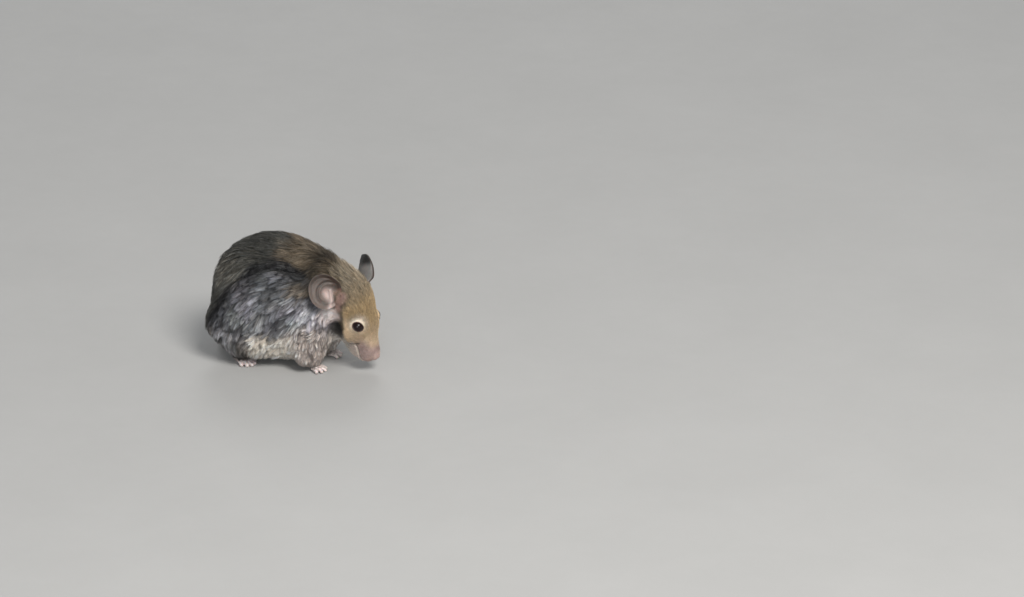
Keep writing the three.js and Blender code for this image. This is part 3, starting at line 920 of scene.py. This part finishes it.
def comb(pelt, root, steps, tree, random):
    """Carries each hair from its root over the skin along the lie of the coat, rising to its loft."""
    count = len(root["points"])
    turn = random.normal(0, 0.14, count) + (0.16 + 0.2 * root["damp"]) * drift(root["points"], 1.5, 8)
    heading = root["lie"] * np.cos(turn)[:, None]
    heading = heading + np.cross(root["normals"], root["lie"]) * np.sin(turn)[:, None]
    length = root["length"] * random.uniform(0.7, 1.1, count) * (1 + 0.22 * drift(root["points"], 2.4, 9))
    x, _, z = head.of(root["points"]).T
    nape = smooth(x, -13.5, -18.5) * smooth(x, -31, -27) * smooth(z, 2.5, 4.5)
    rise = root["loft"] * random.uniform(0.55, 1.12, count) + 0.7 * nape * random.uniform(0.4, 1.1, count)
    hang = 0.28 * length * smooth(root["points"][:, 2], 11, 6) * root["damp"]
    ground = root["points"].copy()
    paths = np.empty((count, steps + 1, 3))
    paths[:, 0] = ground - root["normals"] * 0.12
    for step in range(1, steps + 1):
        ahead = ground + heading * (length / steps)[:, None]
        found = [tree.find_nearest(place)[:3] for place in ahead]
        ground = np.array([place for place, _, _ in found])
        normals = np.array([normal for _, normal, _ in found])
        heading = flat_to(heading, normals)
        share = step / steps
        height = rise * (share**0.6 - 0.2 * share**3 * (1 - nape))
        paths[:, step] = ground + normals * height[:, None]
        paths[:, step, 2] -= hang * share**2
        if step == (steps + 1) // 2:  # the markings show where the hairs lie, not at their roots
            beneath = np.array([face for _, _, face in found])
            root["tone"] = pelt.tone[pelt.triangles[beneath]].mean(1)
    paths[..., 2] = np.maximum(paths[..., 2], 0.15)
    return paths


def paleness(tone):
    return smooth(tone.mean(1), 0.4, 0.75)


def gather(root, paths, spacing, random):
    """Draws the hairs together into locks: each leans to the path of the hair at its lock's heart."""
    count = len(paths)
    crowd = 22 / spacing**2
    hearts = random.choice(count, max(int(count / crowd), 1), replace=False)
    tree = KDTree(len(hearts))
    for i, place in enumerate(root["points"][hearts]):
        tree.insert(place, i)
    tree.balance()
    lock = np.array([tree.find(place)[1] for place in root["points"]])
    share = np.linspace(0, 1, paths.shape[1])
    near = np.linalg.norm(root["points"] - root["points"][hearts[lock]], axis=1) / spacing
    pull = np.clip(0.2 + 0.72 * root["damp"], 0, 0.92) * random.uniform(0.75, 1.05, count)
    pull = pull[:, None] * smooth(share, -0.15, 1.05)[None] ** 0.9
    scatter = random.normal(0, 0.09, (count, 1, 3)) * share[None, :, None]
    paths = mix(paths, paths[hearts[lock]] + scatter, pull)
    x, y, z = root["points"].T
    streak = drift(np.stack([(x + z) / 6.5, (x - z) / 1.3, y / 5], 1), 1.0, 21)
    shade = random.normal(0, 1, len(hearts))[lock] * (0.1 + 0.24 * root["damp"])
    shade = shade + 0.42 * streak * root["damp"]
    # Painted light at the heart of each damp lock and painted shade towards its edges.
    shade = shade + root["damp"] * (0.3 - 0.85 * np.clip(near, 0, 1) ** 1.5)
    return paths, np.exp(shade * (1 - 0.5 * paleness(root["tone"])))


def grow(pelt, wanted, count, steps, spacing, random):
    """Roots, paths, thickness and colour of the hairs that grow where they are wanted."""
    tree = BVHTree.FromPolygons(pelt.points.tolist(), pelt.triangles.tolist())
    root = lay_roots(pelt, wanted, count, random)
    paths = comb(pelt, root, steps, tree, random)
    paths, shade = gather(root, paths, spacing, random)
    thick = bpy.context.scene.mouse_sizes.hair / MM / 2 * np.clip(root["length"] / 3.2, 0.4, 1.0)
    share = np.linspace(0, 1, steps + 1)
    taper = np.interp(share, [0, 0.3, 0.7, 1], [0.8, 1.0, 0.75, 0.1])
    radii = (thick * random.uniform(0.7, 1.2, len(thick)))[:, None] * taper
    long = smooth(root["length"], 0.6, 2.6)
    shade = shade * (1 + random.uniform(-0.22, 0.22, len(shade)) * (0.4 + 0.6 * long))
    gold = 1.5 + 1.6 * spot(root["points"], -15.5, 8.5, 27.6, (5.5, 6, 4.5))
    shade = np.where(random.random(len(shade)) < 0.14 * long, shade * gold, shade)
    warm = 1 + random.normal(0, 0.04, (len(shade), 1)) * np.array([1, 0, -1.2])
    dark = np.interp(share, [0, 0.35, 0.75, 1], [0.35, 0.75, 1.2, 1.1])
    light = np.interp(share, [0, 0.35, 0.75, 1], [0.75, 0.9, 1.1, 1.05])
    deep = smooth(root["length"], 1.0, 3.0)[:, None]
    along_hair = light * (1 - deep) + dark * deep
    along_hair = mix(along_hair[..., None], [1.0], 0.75 * paleness(root["tone"])[:, None])[..., 0]
    colour = root["tone"][:, None] * (shade[:, None] * along_hair)[..., None] * warm[:, None]
    return root, paths, radii, np.clip(colour, 0.003, 0.9)


def strand_mesh(name, root, paths, radii, colour, random, chosen):
    """One piece of the coat, with each hair on its own patch of the skin's unwrap."""
    paths, radii, colour = paths[chosen], radii[chosen], colour[chosen]
    twist = random.uniform(0, 2 * np.pi, len(paths))
    points, faces, each = rods(paths, radii, root["normals"][chosen] + 1e-4, 3, twist)
    mesh = mesh_from(name, points, faces)
    stations = paths.shape[1]
    station = np.minimum(np.arange(each) // 3, stations - 1)
    store_tone(mesh, colour[:, station].reshape(-1, 3))
    patch = 0.003
    spot = np.stack([(np.arange(each) % 3) / 2 - 0.5, station / (stations - 1) - 0.5], 1) * patch
    map_points = (root["unwrap"][chosen][:, None] + spot[None]).reshape(-1, 2)
    layer = mesh.uv_layers.new(name="OFBake")
    layer.data.foreach_set("uv", map_points[corners_of(mesh)].astype(np.float32).ravel())
    return mesh


def coat_areas(root, part):
    """The named area of the coat that each root is in."""
    x, y, z = root["points"].T
    owner = np.array(FLESH)[root["share"].argmax(1)]
    right = y < MIDLINE
    if part == "face":
        front = head.of(root["points"])[:, 0] > -10.5
        return np.where(~front, "crown", np.where(right, "face_right", "face_left"))
    name = np.where(right, "flank_right", "flank_left")
    name = np.where(z > crease(x), np.where(x < -6, "rump", "back"), name)
    name = np.where((owner == "trunk") & (z < 10), "belly", name)
    name = np.where(owner == "neck", "nape", name)
    for leg in LEGS:
        name = np.where(owner == leg, leg.replace("hind_leg", "haunch"), name)
    return name


def make_coat():
    body = Pelt.body
    if body is None:
        raise RuntimeError("The skin has to be made before the coat")
    random = np.random.default_rng(7)
    face = body.of_nodes(FACE) > 0.5
    close = 1 / np.clip(body.length, 0.8, 3.5) ** 0.7
    for part, wanted in (("body", close * ~face), ("face", close * face)):
        root, paths, radii, colour = grow(body, wanted, *HAIRS[part], random)
        areas = coat_areas(root, part)
        for area in sorted(set(areas)):
            mesh = strand_mesh(f"coat_{area}", root, paths, radii, colour, random, areas == area)
            piece(mesh, wet_finish() if area.startswith(WET) else dry_finish())
    for node, pelt in Pelt.paws.items():
        grown = grow(pelt, pelt.length**0.5, *HAIRS[node.rsplit("_", 1)[0]], random)
        mesh = strand_mesh(f"coat_{node}", *grown, random, np.ones(len(grown[0]["points"]), bool))
        piece(mesh, wet_finish())


# ------------------------------------------------------------------ eyes
def make_eyes():
    points, faces = ball(48, 32)
    front = np.maximum(points[:, 2:], 0)
    points = points * EYE_RADIUS * (0.985 + 0.035 * front**2)  # the cornea stands out a little
    for side, eye in EYES.items():
        turn = np.array(Vector((0, 0, 1)).rotation_difference(Vector(eye.out)).to_matrix())
        mesh = mesh_from(f"eyeball_{side}", points @ turn.T + eye.centre, faces)
        piece(mesh, eye_finish(), [f"eye_{side}"])


# ------------------------------------------------------------------ ears
EARS = {  # where each ear's foot is on the head, which way it stands and which way it opens
    "right": ((-17.0, -6.6, 3.3), (-0.62, -0.22, 0.8), (0.34, -0.86, 0.38)),
    "left": ((-16.0, 5.0, 3.7), (-0.15, 0.34, 0.93), (0.78, 0.62, -0.1)),
}
# Sizes in millimetres; the middle and the narrowing of the lower half are shares.
EAR = {"width": 9.5, "length": 10.6, "middle": 0.46, "narrowing": 0.34, "cup": 1.0, "curl": 0.9}
FOLD = ((1.0, -0.6), (0.3, -1.8), (-0.5, -3.1), (-1.9, -4.0), (-3.2, -4.3))  # from the bowl to the lower edge


def ear_foot(side):
    return head.at(*EARS[side][0])


def ear_form(front, up, share):
    """How far the ear's face stands out at a place, before its thickness."""
    half = EAR["width"] / 2
    out = EAR["cup"] * (share**2 - 1) + EAR["curl"] * np.abs(front / half) ** 3
    out = out - 0.75 * np.exp(-((np.hypot((front - 0.4) / 2.0, (up + 1.0) / 2.3)) ** 2.6))
    ring = np.hypot(front - 0.3, up + 0.6)
    turn = np.arctan2(up + 0.6, -(front - 0.3))
    arc = smooth(turn, -0.7, 0.1) * smooth(turn, 3.1, 2.4)
    for height, place, width in ((0.42, 2.5, 0.4), (-0.22, 3.15, 0.35), (0.2, 3.8, 0.4)):
        out = out + height * ridge(ring - place, width) * arc
    out = out + 0.62 * ridge(beside(front, up, FOLD), 0.42) * (1 - 0.5 * share)
    out = out - 0.16 * ridge(share - 0.8, 0.05)
    return out + smooth(share, 0.84, 0.99) * (0.22 + 0.4 * smooth(front, 0.8, 4.0) * smooth(up, 4.5, 1.0))


def ear_back_form(front, up, share):
    """The back of the ear: the cup with a smooth swelling behind the bowl."""
    out = EAR["cup"] * (share**2 - 1) + EAR["curl"] * np.abs(front / EAR["width"] * 2) ** 3
    return out - 0.9 * np.exp(-((np.hypot((front - 0.4) / 2.8, (up + 1.2) / 3.2)) ** 2))


def ear_tone(front, up, inner):
    """Colours of the ear: pale in the bowl and on the folds, dark at the tip and inside the front edge."""
    rim, inside, back = (colours()[f"ear_{part}"] for part in ("rim", "inside", "back"))
    if not inner:
        # Painted shade along the back's rear edge and over its top; paler towards the lower front.
        edge = np.maximum(smooth(front, -0.4, -2.4), smooth(up, 1.8, 3.8))
        back = mix(back, back * 1.35, smooth(up, 0.5, -3.0) * smooth(front, -0.5, 1.5))
        return mix(back, back * 0.1, edge * smooth(up, -4.5, -1.5))
    bowl = np.exp(-((np.hypot((front - 0.1) / 1.5, (up + 0.9) / 1.8)) ** 2.4))
    fold = ridge(beside(front, up, FOLD), 0.6)
    tone = mix(rim, inside * 0.7, smooth(up, -2.5, -4.8) * 0.7)
    # The bowl and folds take the inside colour, partly the skin's own and partly painted highlight.
    tone = mix(tone, inside * 1.12, np.clip(np.maximum(bowl, fold), 0, 1))
    tone = mix(tone, rim * (0.42, 0.4, 0.38), smooth(up + 0.5 * front, 1.8, 5.0) * 0.85)
    # Painted shade in the groove round the bowl.
    ring = np.hypot(front - 0.3, up + 0.6)
    tone = darker(tone, 0.35 * ridge(ring - 3.1, 0.5))
    # Painted shade inside the front edge, where the rim curls over.
    dark = smooth(front + 0.15 * up, 1.7, 3.2) * smooth(up, -2.8, -1.2)
    tone = mix(tone, rim * (0.42, 0.33, 0.28), dark * 0.9)
    lobe = smooth(front, 0.6, 1.8) * smooth(up, -1.0, -2.4) * (1 - 0.7 * fold)
    return mix(tone, inside * (0.62, 0.47, 0.4), lobe)


def make_ears():
    around, rings, thick = 96, 32, bpy.context.scene.mouse_sizes.ear_thickness / MM
    for side, (_, up, facing) in EARS.items():
        s = SIDES[side]
        up, facing = unit(np.array(up)), np.array(facing)
        out = unit(facing - up * (facing @ up))
        ahead = np.cross(up, out) * -s  # towards the front edge
        centre = ear_foot(side) + up * EAR["length"] * EAR["middle"] + ahead * 0.3
        share = np.repeat(np.arange(1, rings + 1) / rings, around)
        angle = np.tile(np.arange(around) * 2 * np.pi / around, rings)
        share, angle = np.append(0.0, share), np.append(0.0, angle)
        low = np.clip(-np.sin(angle), 0, 1)
        rim_place = np.stack([np.cos(angle), np.sin(angle), np.zeros_like(angle)], 1)
        uneven = 1 + 0.022 * drift(rim_place, 0.5, 2) * share
        front = EAR["width"] / 2 * share * np.cos(angle) * (1 - EAR["narrowing"] * low**2) * uneven
        front = front * (1 - (0.06 + 0.2 * low) * (front > 0))
        rise = EAR["length"] * (1 - EAR["middle"]) * share * np.sin(angle) * uneven * (1 - 0.15 * low**2)
        if side == "left":
            full = 1 + 0.12 * np.sin(2 * angle) ** 2 * (np.sin(angle) > 0) * share
            front, rise = front * full, rise * full
        foot = share**3 * (1.2 * low**4 + 1.3 * smooth(low, 0.1, 0.6) * smooth(np.cos(angle), -0.3, 0.4))
        edge = (0.4 + 0.6 * (1 - share**6)) * thick / 2
        inner = ear_form(front, rise, share) + edge - foot
        outer = np.minimum(ear_back_form(front, rise, share) - edge - foot, inner - 1.6 * edge)
        flat = centre + ahead * front[:, None] + up * rise[:, None]
        points = np.concatenate([flat + out * stand[:, None] for stand in (inner, outer)])
        layer = 1 + rings * around
        first = np.arange(around)
        after = (first + 1) % around
        fan = np.stack([first * 0, 1 + first, 1 + after], 1)
        a, b, c, d = bands(rings, around)
        grid = 1 + np.stack([a, d, c, b], 1)
        rim = 1 + (rings - 1) * around
        edge_faces = np.stack([rim + first, rim + first + layer, rim + after + layer, rim + after], 1)
        faces = [
            np.concatenate([fan, (fan + layer)[:, ::-1]]),
            np.concatenate([grid, (grid + layer)[:, ::-1], edge_faces]),
        ]
        if s > 0:
            faces = [face[:, ::-1] for face in faces]
        mesh = mesh_from(f"pinna_{side}", points, faces)
        tone = np.concatenate([ear_tone(front, rise, facing_out) for facing_out in (True, False)])
        store_tone(mesh, tone)
        piece(mesh, bare_finish(), [f"ear_{side}"])


# ------------------------------------------------------------------ paws and claws
HEADINGS = {  # degrees to the mouse's left of straight ahead
    "forepaw_right": -18,
    "forepaw_left": 15,
    "hind_foot_right": -28,
    "hind_foot_left": 28,
}
PAWS = {  # sizes in millimetres; the spread between the outer toes and straight ahead in radians
    "forepaw": {"toes": 4, "spread": 0.55, "width": 3.4, "toe": 0.5, "claw": 0.55},
    "hind_foot": {"toes": 5, "spread": 0.42, "width": 3.3, "toe": 0.56, "claw": 0.75},
}
# How far along, the height where there is one, and the radius, which for a toe is a share of its own size.
SOLE = ((0.1, 1.0, 0.6), (0.2, 0.95, 0.8), (0.35, 0.95, 0.78), (0.52, 0.9, 0.7), (0.6, 0.8, 0.3))
ANKLE = ((-0.3, 0.9), (1.2, 1.15), (3, 1.35), (4.4, 0.5))
CLAW = ((0, 0.0, 0.15), (0.3, 0.06, 0.13), (0.65, -0.08, 0.085), (1.0, -0.34, 0.02))
TOE = (
    (-0.15, 0.8, 0.9),
    (0.15, 0.95, 1.0),
    (0.38, 1.0, 1.12),
    (0.6, 0.72, 0.9),
    (0.82, 0.5, 1.05),
    (0.93, 0.42, 0.7),
    (1.0, 0.4, 0.2),
)
PAW_GRAIN = 0.13  # face size of the paws


def chain(points, radii, sides=12):
    """One rounded rod through a few points, as points and faces."""
    path, radii = np.array(points, float)[None], np.array(radii, float)[None]
    return rods(path, radii, SKEW, sides)[:2]


def make_paws():
    c = colours()
    for node, degrees in HEADINGS.items():
        kind = PAWS[node.rsplit("_", 1)[0]]
        angle = math.radians(degrees)
        ahead = np.array([math.cos(angle), math.sin(angle), 0])
        left = np.array([-ahead[1], ahead[0], 0])
        corners = points_of(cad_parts[node].data) / MM
        back, front = (corners @ ahead).min(), (corners @ ahead).max()
        centre = left * ((corners @ left).min() + (corners @ left).max()) / 2

        def at(share, aside, height):
            return ahead * (back + (front - back) * share) + centre + left * aside + (0, 0, height)

        bodies, claws = [], []
        sole = [at(share, 0, height) for share, height, _ in SOLE]
        for aside in (-0.27, 0, 0.27):
            shift = left * aside * kind["width"]
            path = [place + shift * (0.5 + 0.12 * i) for i, place in enumerate(sole)]
            bodies.append(chain(path, [radius for *_, radius in SOLE]))
        leg = node.replace("hind_foot", "hind_leg").replace("forepaw", "foreleg")
        ankle = at(0.22, 0, 1.2)
        climb = unit(middle(leg) - ankle)
        path = [ankle + climb * up for up, _ in ANKLE]
        bodies.append(chain(path, [radius for _, radius in ANKLE], 16))
        for toe in range(kind["toes"]):
            place = 2 * toe / (kind["toes"] - 1) - 1
            turn = angle + kind["spread"] * place
            out = np.array([math.cos(turn), math.sin(turn), 0])
            root = at(0.46 - 0.06 * place**2, kind["width"] * 0.36 * place, 0.0)
            reach = (front - back) * (0.44 - 0.1 * place**2)
            path = [root + out * share * reach + (0, 0, height) for share, height, _ in TOE]
            bodies.append(chain(path, [kind["toe"] * radius for *_, radius in TOE]))
            tip = root + out * reach * 0.84 + (0, 0, 0.62)
            claws.append([tip + out * share * kind["claw"] + (0, 0, rise) for share, rise, _ in CLAW])
        parts = [mesh_from("part", points / MM, faces) for points, faces in bodies]
        even = remeshed(joined(parts), PAW_GRAIN)
        points = relax(points_of(even), edges_of(even), 4)
        points[:, 2] = np.maximum(points[:, 2], FLOOR)
        move_points(even, points * MM)
        even.name = f"paw_{node}"
        even.shade_smooth()
        hind = "hind" in node
        far = (points @ ahead - back) / (front - back)
        furred = smooth(points[:, 2] + 1.2 * (1 - far), 1.5, 2.1) * smooth(far, 0.85, 0.55 if hind else 0.3)
        paw, fur = c["paw"], c["shin" if hind else "forearm"]
        tone = mix(darker(paw, 0.25 * smooth(points[:, 2], 1.1, 0.3)), fur * 0.6, furred)
        store_tone(even, tone)
        unwrap(piece(even, bare_finish(), [node]))

        def fields(points, normals):
            length = (0.25 + 1.5 * furred) * smooth(normals[:, 2], -0.1, 0.4)
            lie = np.tile(ahead - (0, 0, 0.3), (len(points), 1))
            hair = mix(paw * 1.1, fur, furred)
            damp, share = np.full_like(length, 0.6), np.ones((len(points), 1))
            return 0.06 + 0.25 * furred, length, damp, lie, hair, share

        Pelt.paws[node] = Pelt(even, fields)
        claws = np.array(claws)
        radii = np.broadcast_to([radius for *_, radius in CLAW], claws.shape[:2])
        points, faces, _ = rods(claws, radii, SKEW, 10)
        points[:, 2] = np.maximum(points[:, 2], FLOOR)
        piece(mesh_from(f"claws_{node}", points, faces), claw_finish())


# ------------------------------------------------------------------ tail
TAIL = (  # the points its middle passes through, from the rump round the left side
    (-19.4, -4.1, 7.6),
    (-22.5, -2.5, 4.2),
    (-24.1, 1.0, 1.3),
    (-23.2, 6.6, 0),
    (-18.7, 11.4, 0),
    (-11.9, 14.5, 0),
    (-3.9, 15.4, 0),
    (3.1, 14.9, 0),
    (7.9, 16.2, 0),
    (9.7, 19.8, 0),
)
TAIL_RADII = (1.6, 0.4)


def through(points, count):
    """An even run of points on the smooth curve through the given ones."""
    points = np.array(points, float)
    ends = np.concatenate([[2 * points[0] - points[1]], points, [2 * points[-1] - points[-2]]])
    found = []
    for a, b, c, d in zip(ends, ends[1:], ends[2:], ends[3:]):
        t = np.linspace(0, 1, 40, endpoint=False)[:, None]
        curve = 2 * b + (c - a) * t + (2 * a - 5 * b + 4 * c - d) * t**2 + (3 * b - a - 3 * c + d) * t**3
        found.append(0.5 * curve)
    found = np.concatenate([*found, points[-1:]])
    gone = np.concatenate([[0], np.cumsum(np.linalg.norm(np.diff(found, axis=0), axis=1))])
    even = np.linspace(0, gone[-1], count)
    return np.stack([np.interp(even, gone, column) for column in found.T], 1)


def make_tail():
    c, sides, rings, per_ring = colours(), 28, 150, 4
    stations = rings * per_ring + 1
    path = through(TAIL, stations)
    share = np.linspace(0, 1, stations)
    radius = TAIL_RADII[0] + (TAIL_RADII[1] - TAIL_RADII[0]) * share**0.85
    place = np.arange(stations) % per_ring
    groove = np.where(place == 0, 0.955, np.where(place == 2, 1.012, 1.0))
    path[:, 2] = np.maximum(path[:, 2], radius)
    end = np.clip((share - 0.988) / 0.012, 0, 1)
    radii = radius * groove * np.sqrt(1 - 0.96 * end**2)
    points, faces, _ = rods(path[None], radii[None], SKEW, sides)
    points[:, 2] = np.maximum(points[:, 2], FLOOR)
    mesh = mesh_from("tail_skin", points, faces)

    def round_it(values, tip):
        return np.append(np.repeat(values[:-1], sides), tip)

    tone = mix(c["tail"], c["paw"], smooth(round_it(share, 1.0), 0.55, 1.0) * 0.5)
    tone = tone * round_it(np.where(groove < 1, 0.72, 1.0), 1.0)[:, None]
    under = smooth(points[:, 2] - round_it(path[:, 2], path[-1, 2]), 0.3, -0.6)
    tone = mix(tone, tone * (1.25, 1.2, 1.15), under)
    store_tone(mesh, np.clip(tone, 0, 0.9))
    piece(mesh, bare_finish(), ["tail_base", "tail_middle", "tail_tip"])


# ------------------------------------------------------------------ whiskers
def inside_box(points, spare=0.8):
    """Which points keep inside the solids' box, or pass it by no more than is spare."""
    low, high = (np.array(corner) / MM for corner in CAD_BOX)
    return ((points > low - spare) & (points < high + spare)).all(-1)


def make_whiskers():
    rows, columns, stations, tries, tip = 4, 4, 15, 12, 0.12
    random = np.random.default_rng(3)
    tree = BVHTree.FromPolygons(Pelt.body.points.tolist(), Pelt.body.triangles.tolist())
    paths, thick = [], []
    longest = bpy.context.scene.mouse_sizes.whisker / MM
    share = np.linspace(0, 1, stations)[:, None]
    for s in SIDES.values():
        for row, column in np.ndindex(rows, columns):
            start = head.at(-1.9 - 0.85 * column, s * (2.6 + 0.12 * column), 0.9 - 0.85 * row)
            root, normal, *_ = tree.find_nearest(start)
            root, normal = np.array(root), np.array(normal)
            out = head.y * s * 0.9 + normal * 0.5 - head.x * (0.25 + 0.12 * column)
            out = unit(out + head.z * (0.3 - 0.22 * row))
            bend = -head.x * 0.35 + np.array([0, 0, -0.12])
            length = longest * (0.55 + 0.11 * column) * random.uniform(0.85, 1.1)
            for _ in range(tries):  # shorter and shorter until it keeps inside the solids' box
                path = root - normal * 0.3 + out * share * length + bend * share**2 * length * 0.5
                if inside_box(path).all() and path[:, 2].min() > 0.15:
                    break
                length *= 0.9
            paths.append(path)
            thick.append(0.018 + 0.003 * column)
    radii = np.array(thick)[:, None] * np.linspace(1, tip, stations)[None]
    points, faces, _ = rods(np.array(paths), radii, SKEW, 6)
    piece(mesh_from("whiskers", points, faces), whisker_finish())


# ------------------------------------------------------------------ stage
def make_stage():
    world = bpy.data.worlds.new("studio")
    bpy.context.scene.world = world
    world.use_nodes = True
    sky = world.node_tree.nodes["Background"].inputs
    sky["Color"].default_value = (0.78, 0.8, 0.82, 1)
    sky["Strength"].default_value = 0.42
    mesh = bpy.data.meshes.new("floor")
    reach = 3.0
    corners = [(-reach, -reach, 0), (reach, -reach, 0), (reach, reach, 0), (-reach, reach, 0)]
    mesh.from_pydata(corners, [], [(0, 1, 2, 3)])
    floor = placed("floor", mesh)
    f = Finish("pale_floor", 0.9)
    colour = f.mixed(f.noise(40.0, 4.0), (0.36, 0.36, 0.355), (0.4, 0.4, 0.395))
    f.relief(f.noise(0.8, 4.0), 0.05)
    mesh.materials.append(f.done(colour, f.noise(6.0), 0.8, 0.95))
    lights = (  # place in metres, size, watts, colour
        ("key", (0.5, -0.5, 0.75), 0.42, 10.5, (1.0, 0.97, 0.93)),
        ("fill", (0.2, -1.0, 0.25), 0.34, 3.0, (0.96, 0.98, 1.0)),
        ("rim", (-0.3, 0.8, 0.7), 0.5, 3.0, (1.0, 1.0, 1.0)),
    )
    for name, place, size, power, colour in lights:
        lamp = bpy.data.lights.new(name, "AREA")
        lamp.shape = "DISK"
        lamp.size = size
        lamp.energy = power
        lamp.color = colour
        item = placed(name, lamp)
        item.location = place
        item.rotation_euler = Vector(place).to_track_quat("Z", "Y").to_euler()
    bpy.context.scene.view_settings.view_transform = "Standard"
    make_camera()


def make_camera():
    """Looks down on the mouse's right side from its front, and leaves room ahead of it."""
    azimuth, elevation, distance = math.radians(20), math.radians(22), 1.595
    room, height = 0.0622, 0.0168
    level = math.cos(elevation)
    back = Vector((math.sin(azimuth) * level, -math.cos(azimuth) * level, math.sin(elevation)))
    across = Vector((math.cos(azimuth), math.sin(azimuth), 0))
    rise = back.cross(across)
    foot = Vector((middle("trunk")[0] + 2.93, MIDLINE, 0)) * MM
    aim = foot + across * room + rise * height
    camera = placed("camera", bpy.data.cameras.new("camera"))
    camera.data.lens = 200
    camera.data.sensor_width = 36
    camera.data.clip_start, camera.data.clip_end = 0.1, 20
    camera.location = aim + back * distance
    camera.rotation_euler = back.to_track_quat("Z", "Y").to_euler()
    bpy.context.scene.camera = camera


# ------------------------------------------------------------------ the add-on
COLOURS = {
    "rump": ("Rump", (0.068, 0.067, 0.06)),
    "back": ("Back", (0.155, 0.124, 0.088)),
    "nape": ("Nape", (0.3, 0.25, 0.183)),
    "flank": ("Flank", (0.21, 0.211, 0.226)),
    "belly": ("Belly", (0.82, 0.745, 0.655)),
    "forearm": ("Forearm", (0.49, 0.425, 0.392)),
    "shin": ("Shin", (0.12, 0.107, 0.096)),
    "head": ("Head", (0.43, 0.315, 0.178)),
    "cheek": ("Cheek", (0.75, 0.588, 0.4)),
    "snout": ("Snout", (0.565, 0.44, 0.312)),
    "muzzle": ("Muzzle", (0.375, 0.277, 0.254)),
    "bare": ("Bare nose", (0.5, 0.37, 0.33)),
    "chin": ("Chin", (0.75, 0.65, 0.58)),
    "lid": ("Ring of the eye", (0.6, 0.52, 0.43)),
    "patch": ("Patch below the ear", (0.9, 0.765, 0.735)),
    "ear_rim": ("Ear rim", (0.13, 0.105, 0.093)),
    "ear_inside": ("Ear inside", (0.42, 0.33, 0.305)),
    "ear_back": ("Ear back", (0.145, 0.14, 0.135)),
    "paw": ("Paws", (0.72, 0.62, 0.6)),
    "tail": ("Tail", (0.36, 0.27, 0.24)),
    "eye": ("Eyes", (0.008, 0.0035, 0.003)),
    "claw": ("Claws", (0.66, 0.58, 0.5)),
}


def colour_property(label, value):
    text = f"Colour of the {label.lower()}"
    return FloatVectorProperty(
        name=label, description=text, subtype="COLOR", size=3, min=0, max=1, default=value
    )


class MouseColours(PropertyGroup):
    __annotations__ = {name: colour_property(*values) for name, values in COLOURS.items()}


class MouseSizes(PropertyGroup):
    hair: FloatProperty(
        name="Hair", description="Thickness of a body hair", default=0.000104, unit="LENGTH", precision=6
    )
    whisker: FloatProperty(name="Whiskers", description="Length of the longest", default=0.014, unit="LENGTH")
    ear_thickness: FloatProperty(name="Ear", description="Thickness of an ear", default=0.0004, unit="LENGTH")
    eye_width: FloatProperty(
        name="Eye width",
        description="Opening of the lids along the eye",
        default=math.radians(114),
        subtype="ANGLE",
    )
    eye_height: FloatProperty(
        name="Eye height",
        description="Opening of the lids across the eye",
        default=math.radians(86),
        subtype="ANGLE",
    )


def operator(label, text, make):
    """An operator that makes one piece or one group of like pieces."""

    def execute(self, context):
        make()
        return {"FINISHED"}

    name = label.lower()
    parts = {"bl_idname": "mouse." + name, "bl_label": label, "__doc__": text, "execute": execute}
    return type("MOUSE_OT_" + name, (Operator,), parts)


OPERATORS = [
    operator("Stage", "Sets up the floor, the lights and the camera", make_stage),
    operator("Skin", "Makes one skin over the flesh, with lids, nostrils and mouth", make_skin),
    operator("Eyes", "Makes the two eyeballs", make_eyes),
    operator("Ears", "Makes the two ears with their folds", make_ears),
    operator("Paws", "Makes the four paws and their claws", make_paws),
    operator("Tail", "Makes the ringed tail", make_tail),
    operator("Whiskers", "Makes the whiskers", make_whiskers),
    operator("Coat", "Grows the coat over the skin", make_coat),
]


class MOUSE_PT_panel(Panel):
    """Lists the pieces of the mouse and the sizes and colours that they take"""

    bl_label = "House mouse"
    bl_idname = "MOUSE_PT_panel"
    bl_space_type = "VIEW_3D"
    bl_region_type = "UI"
    bl_category = "Mouse"

    def draw(self, context):
        for kind in OPERATORS:
            self.layout.operator(kind.bl_idname)
        for group in (context.scene.mouse_sizes, context.scene.mouse_colours):
            for name in group.__annotations__:
                self.layout.prop(group, name)


CLASSES = [MouseColours, MouseSizes, *OPERATORS, MOUSE_PT_panel]


def register():
    for kind in CLASSES:
        bpy.utils.register_class(kind)
    bpy.types.Scene.mouse_sizes = PointerProperty(type=MouseSizes)
    bpy.types.Scene.mouse_colours = PointerProperty(type=MouseColours)


def unregister():
    del bpy.types.Scene.mouse_sizes, bpy.types.Scene.mouse_colours
    for kind in reversed(CLASSES):
        bpy.utils.unregister_class(kind)


def main():
    register()
    for kind in OPERATORS:
        getattr(bpy.ops.mouse, kind.bl_label.lower())()


if __name__ == "__main__":
    main()
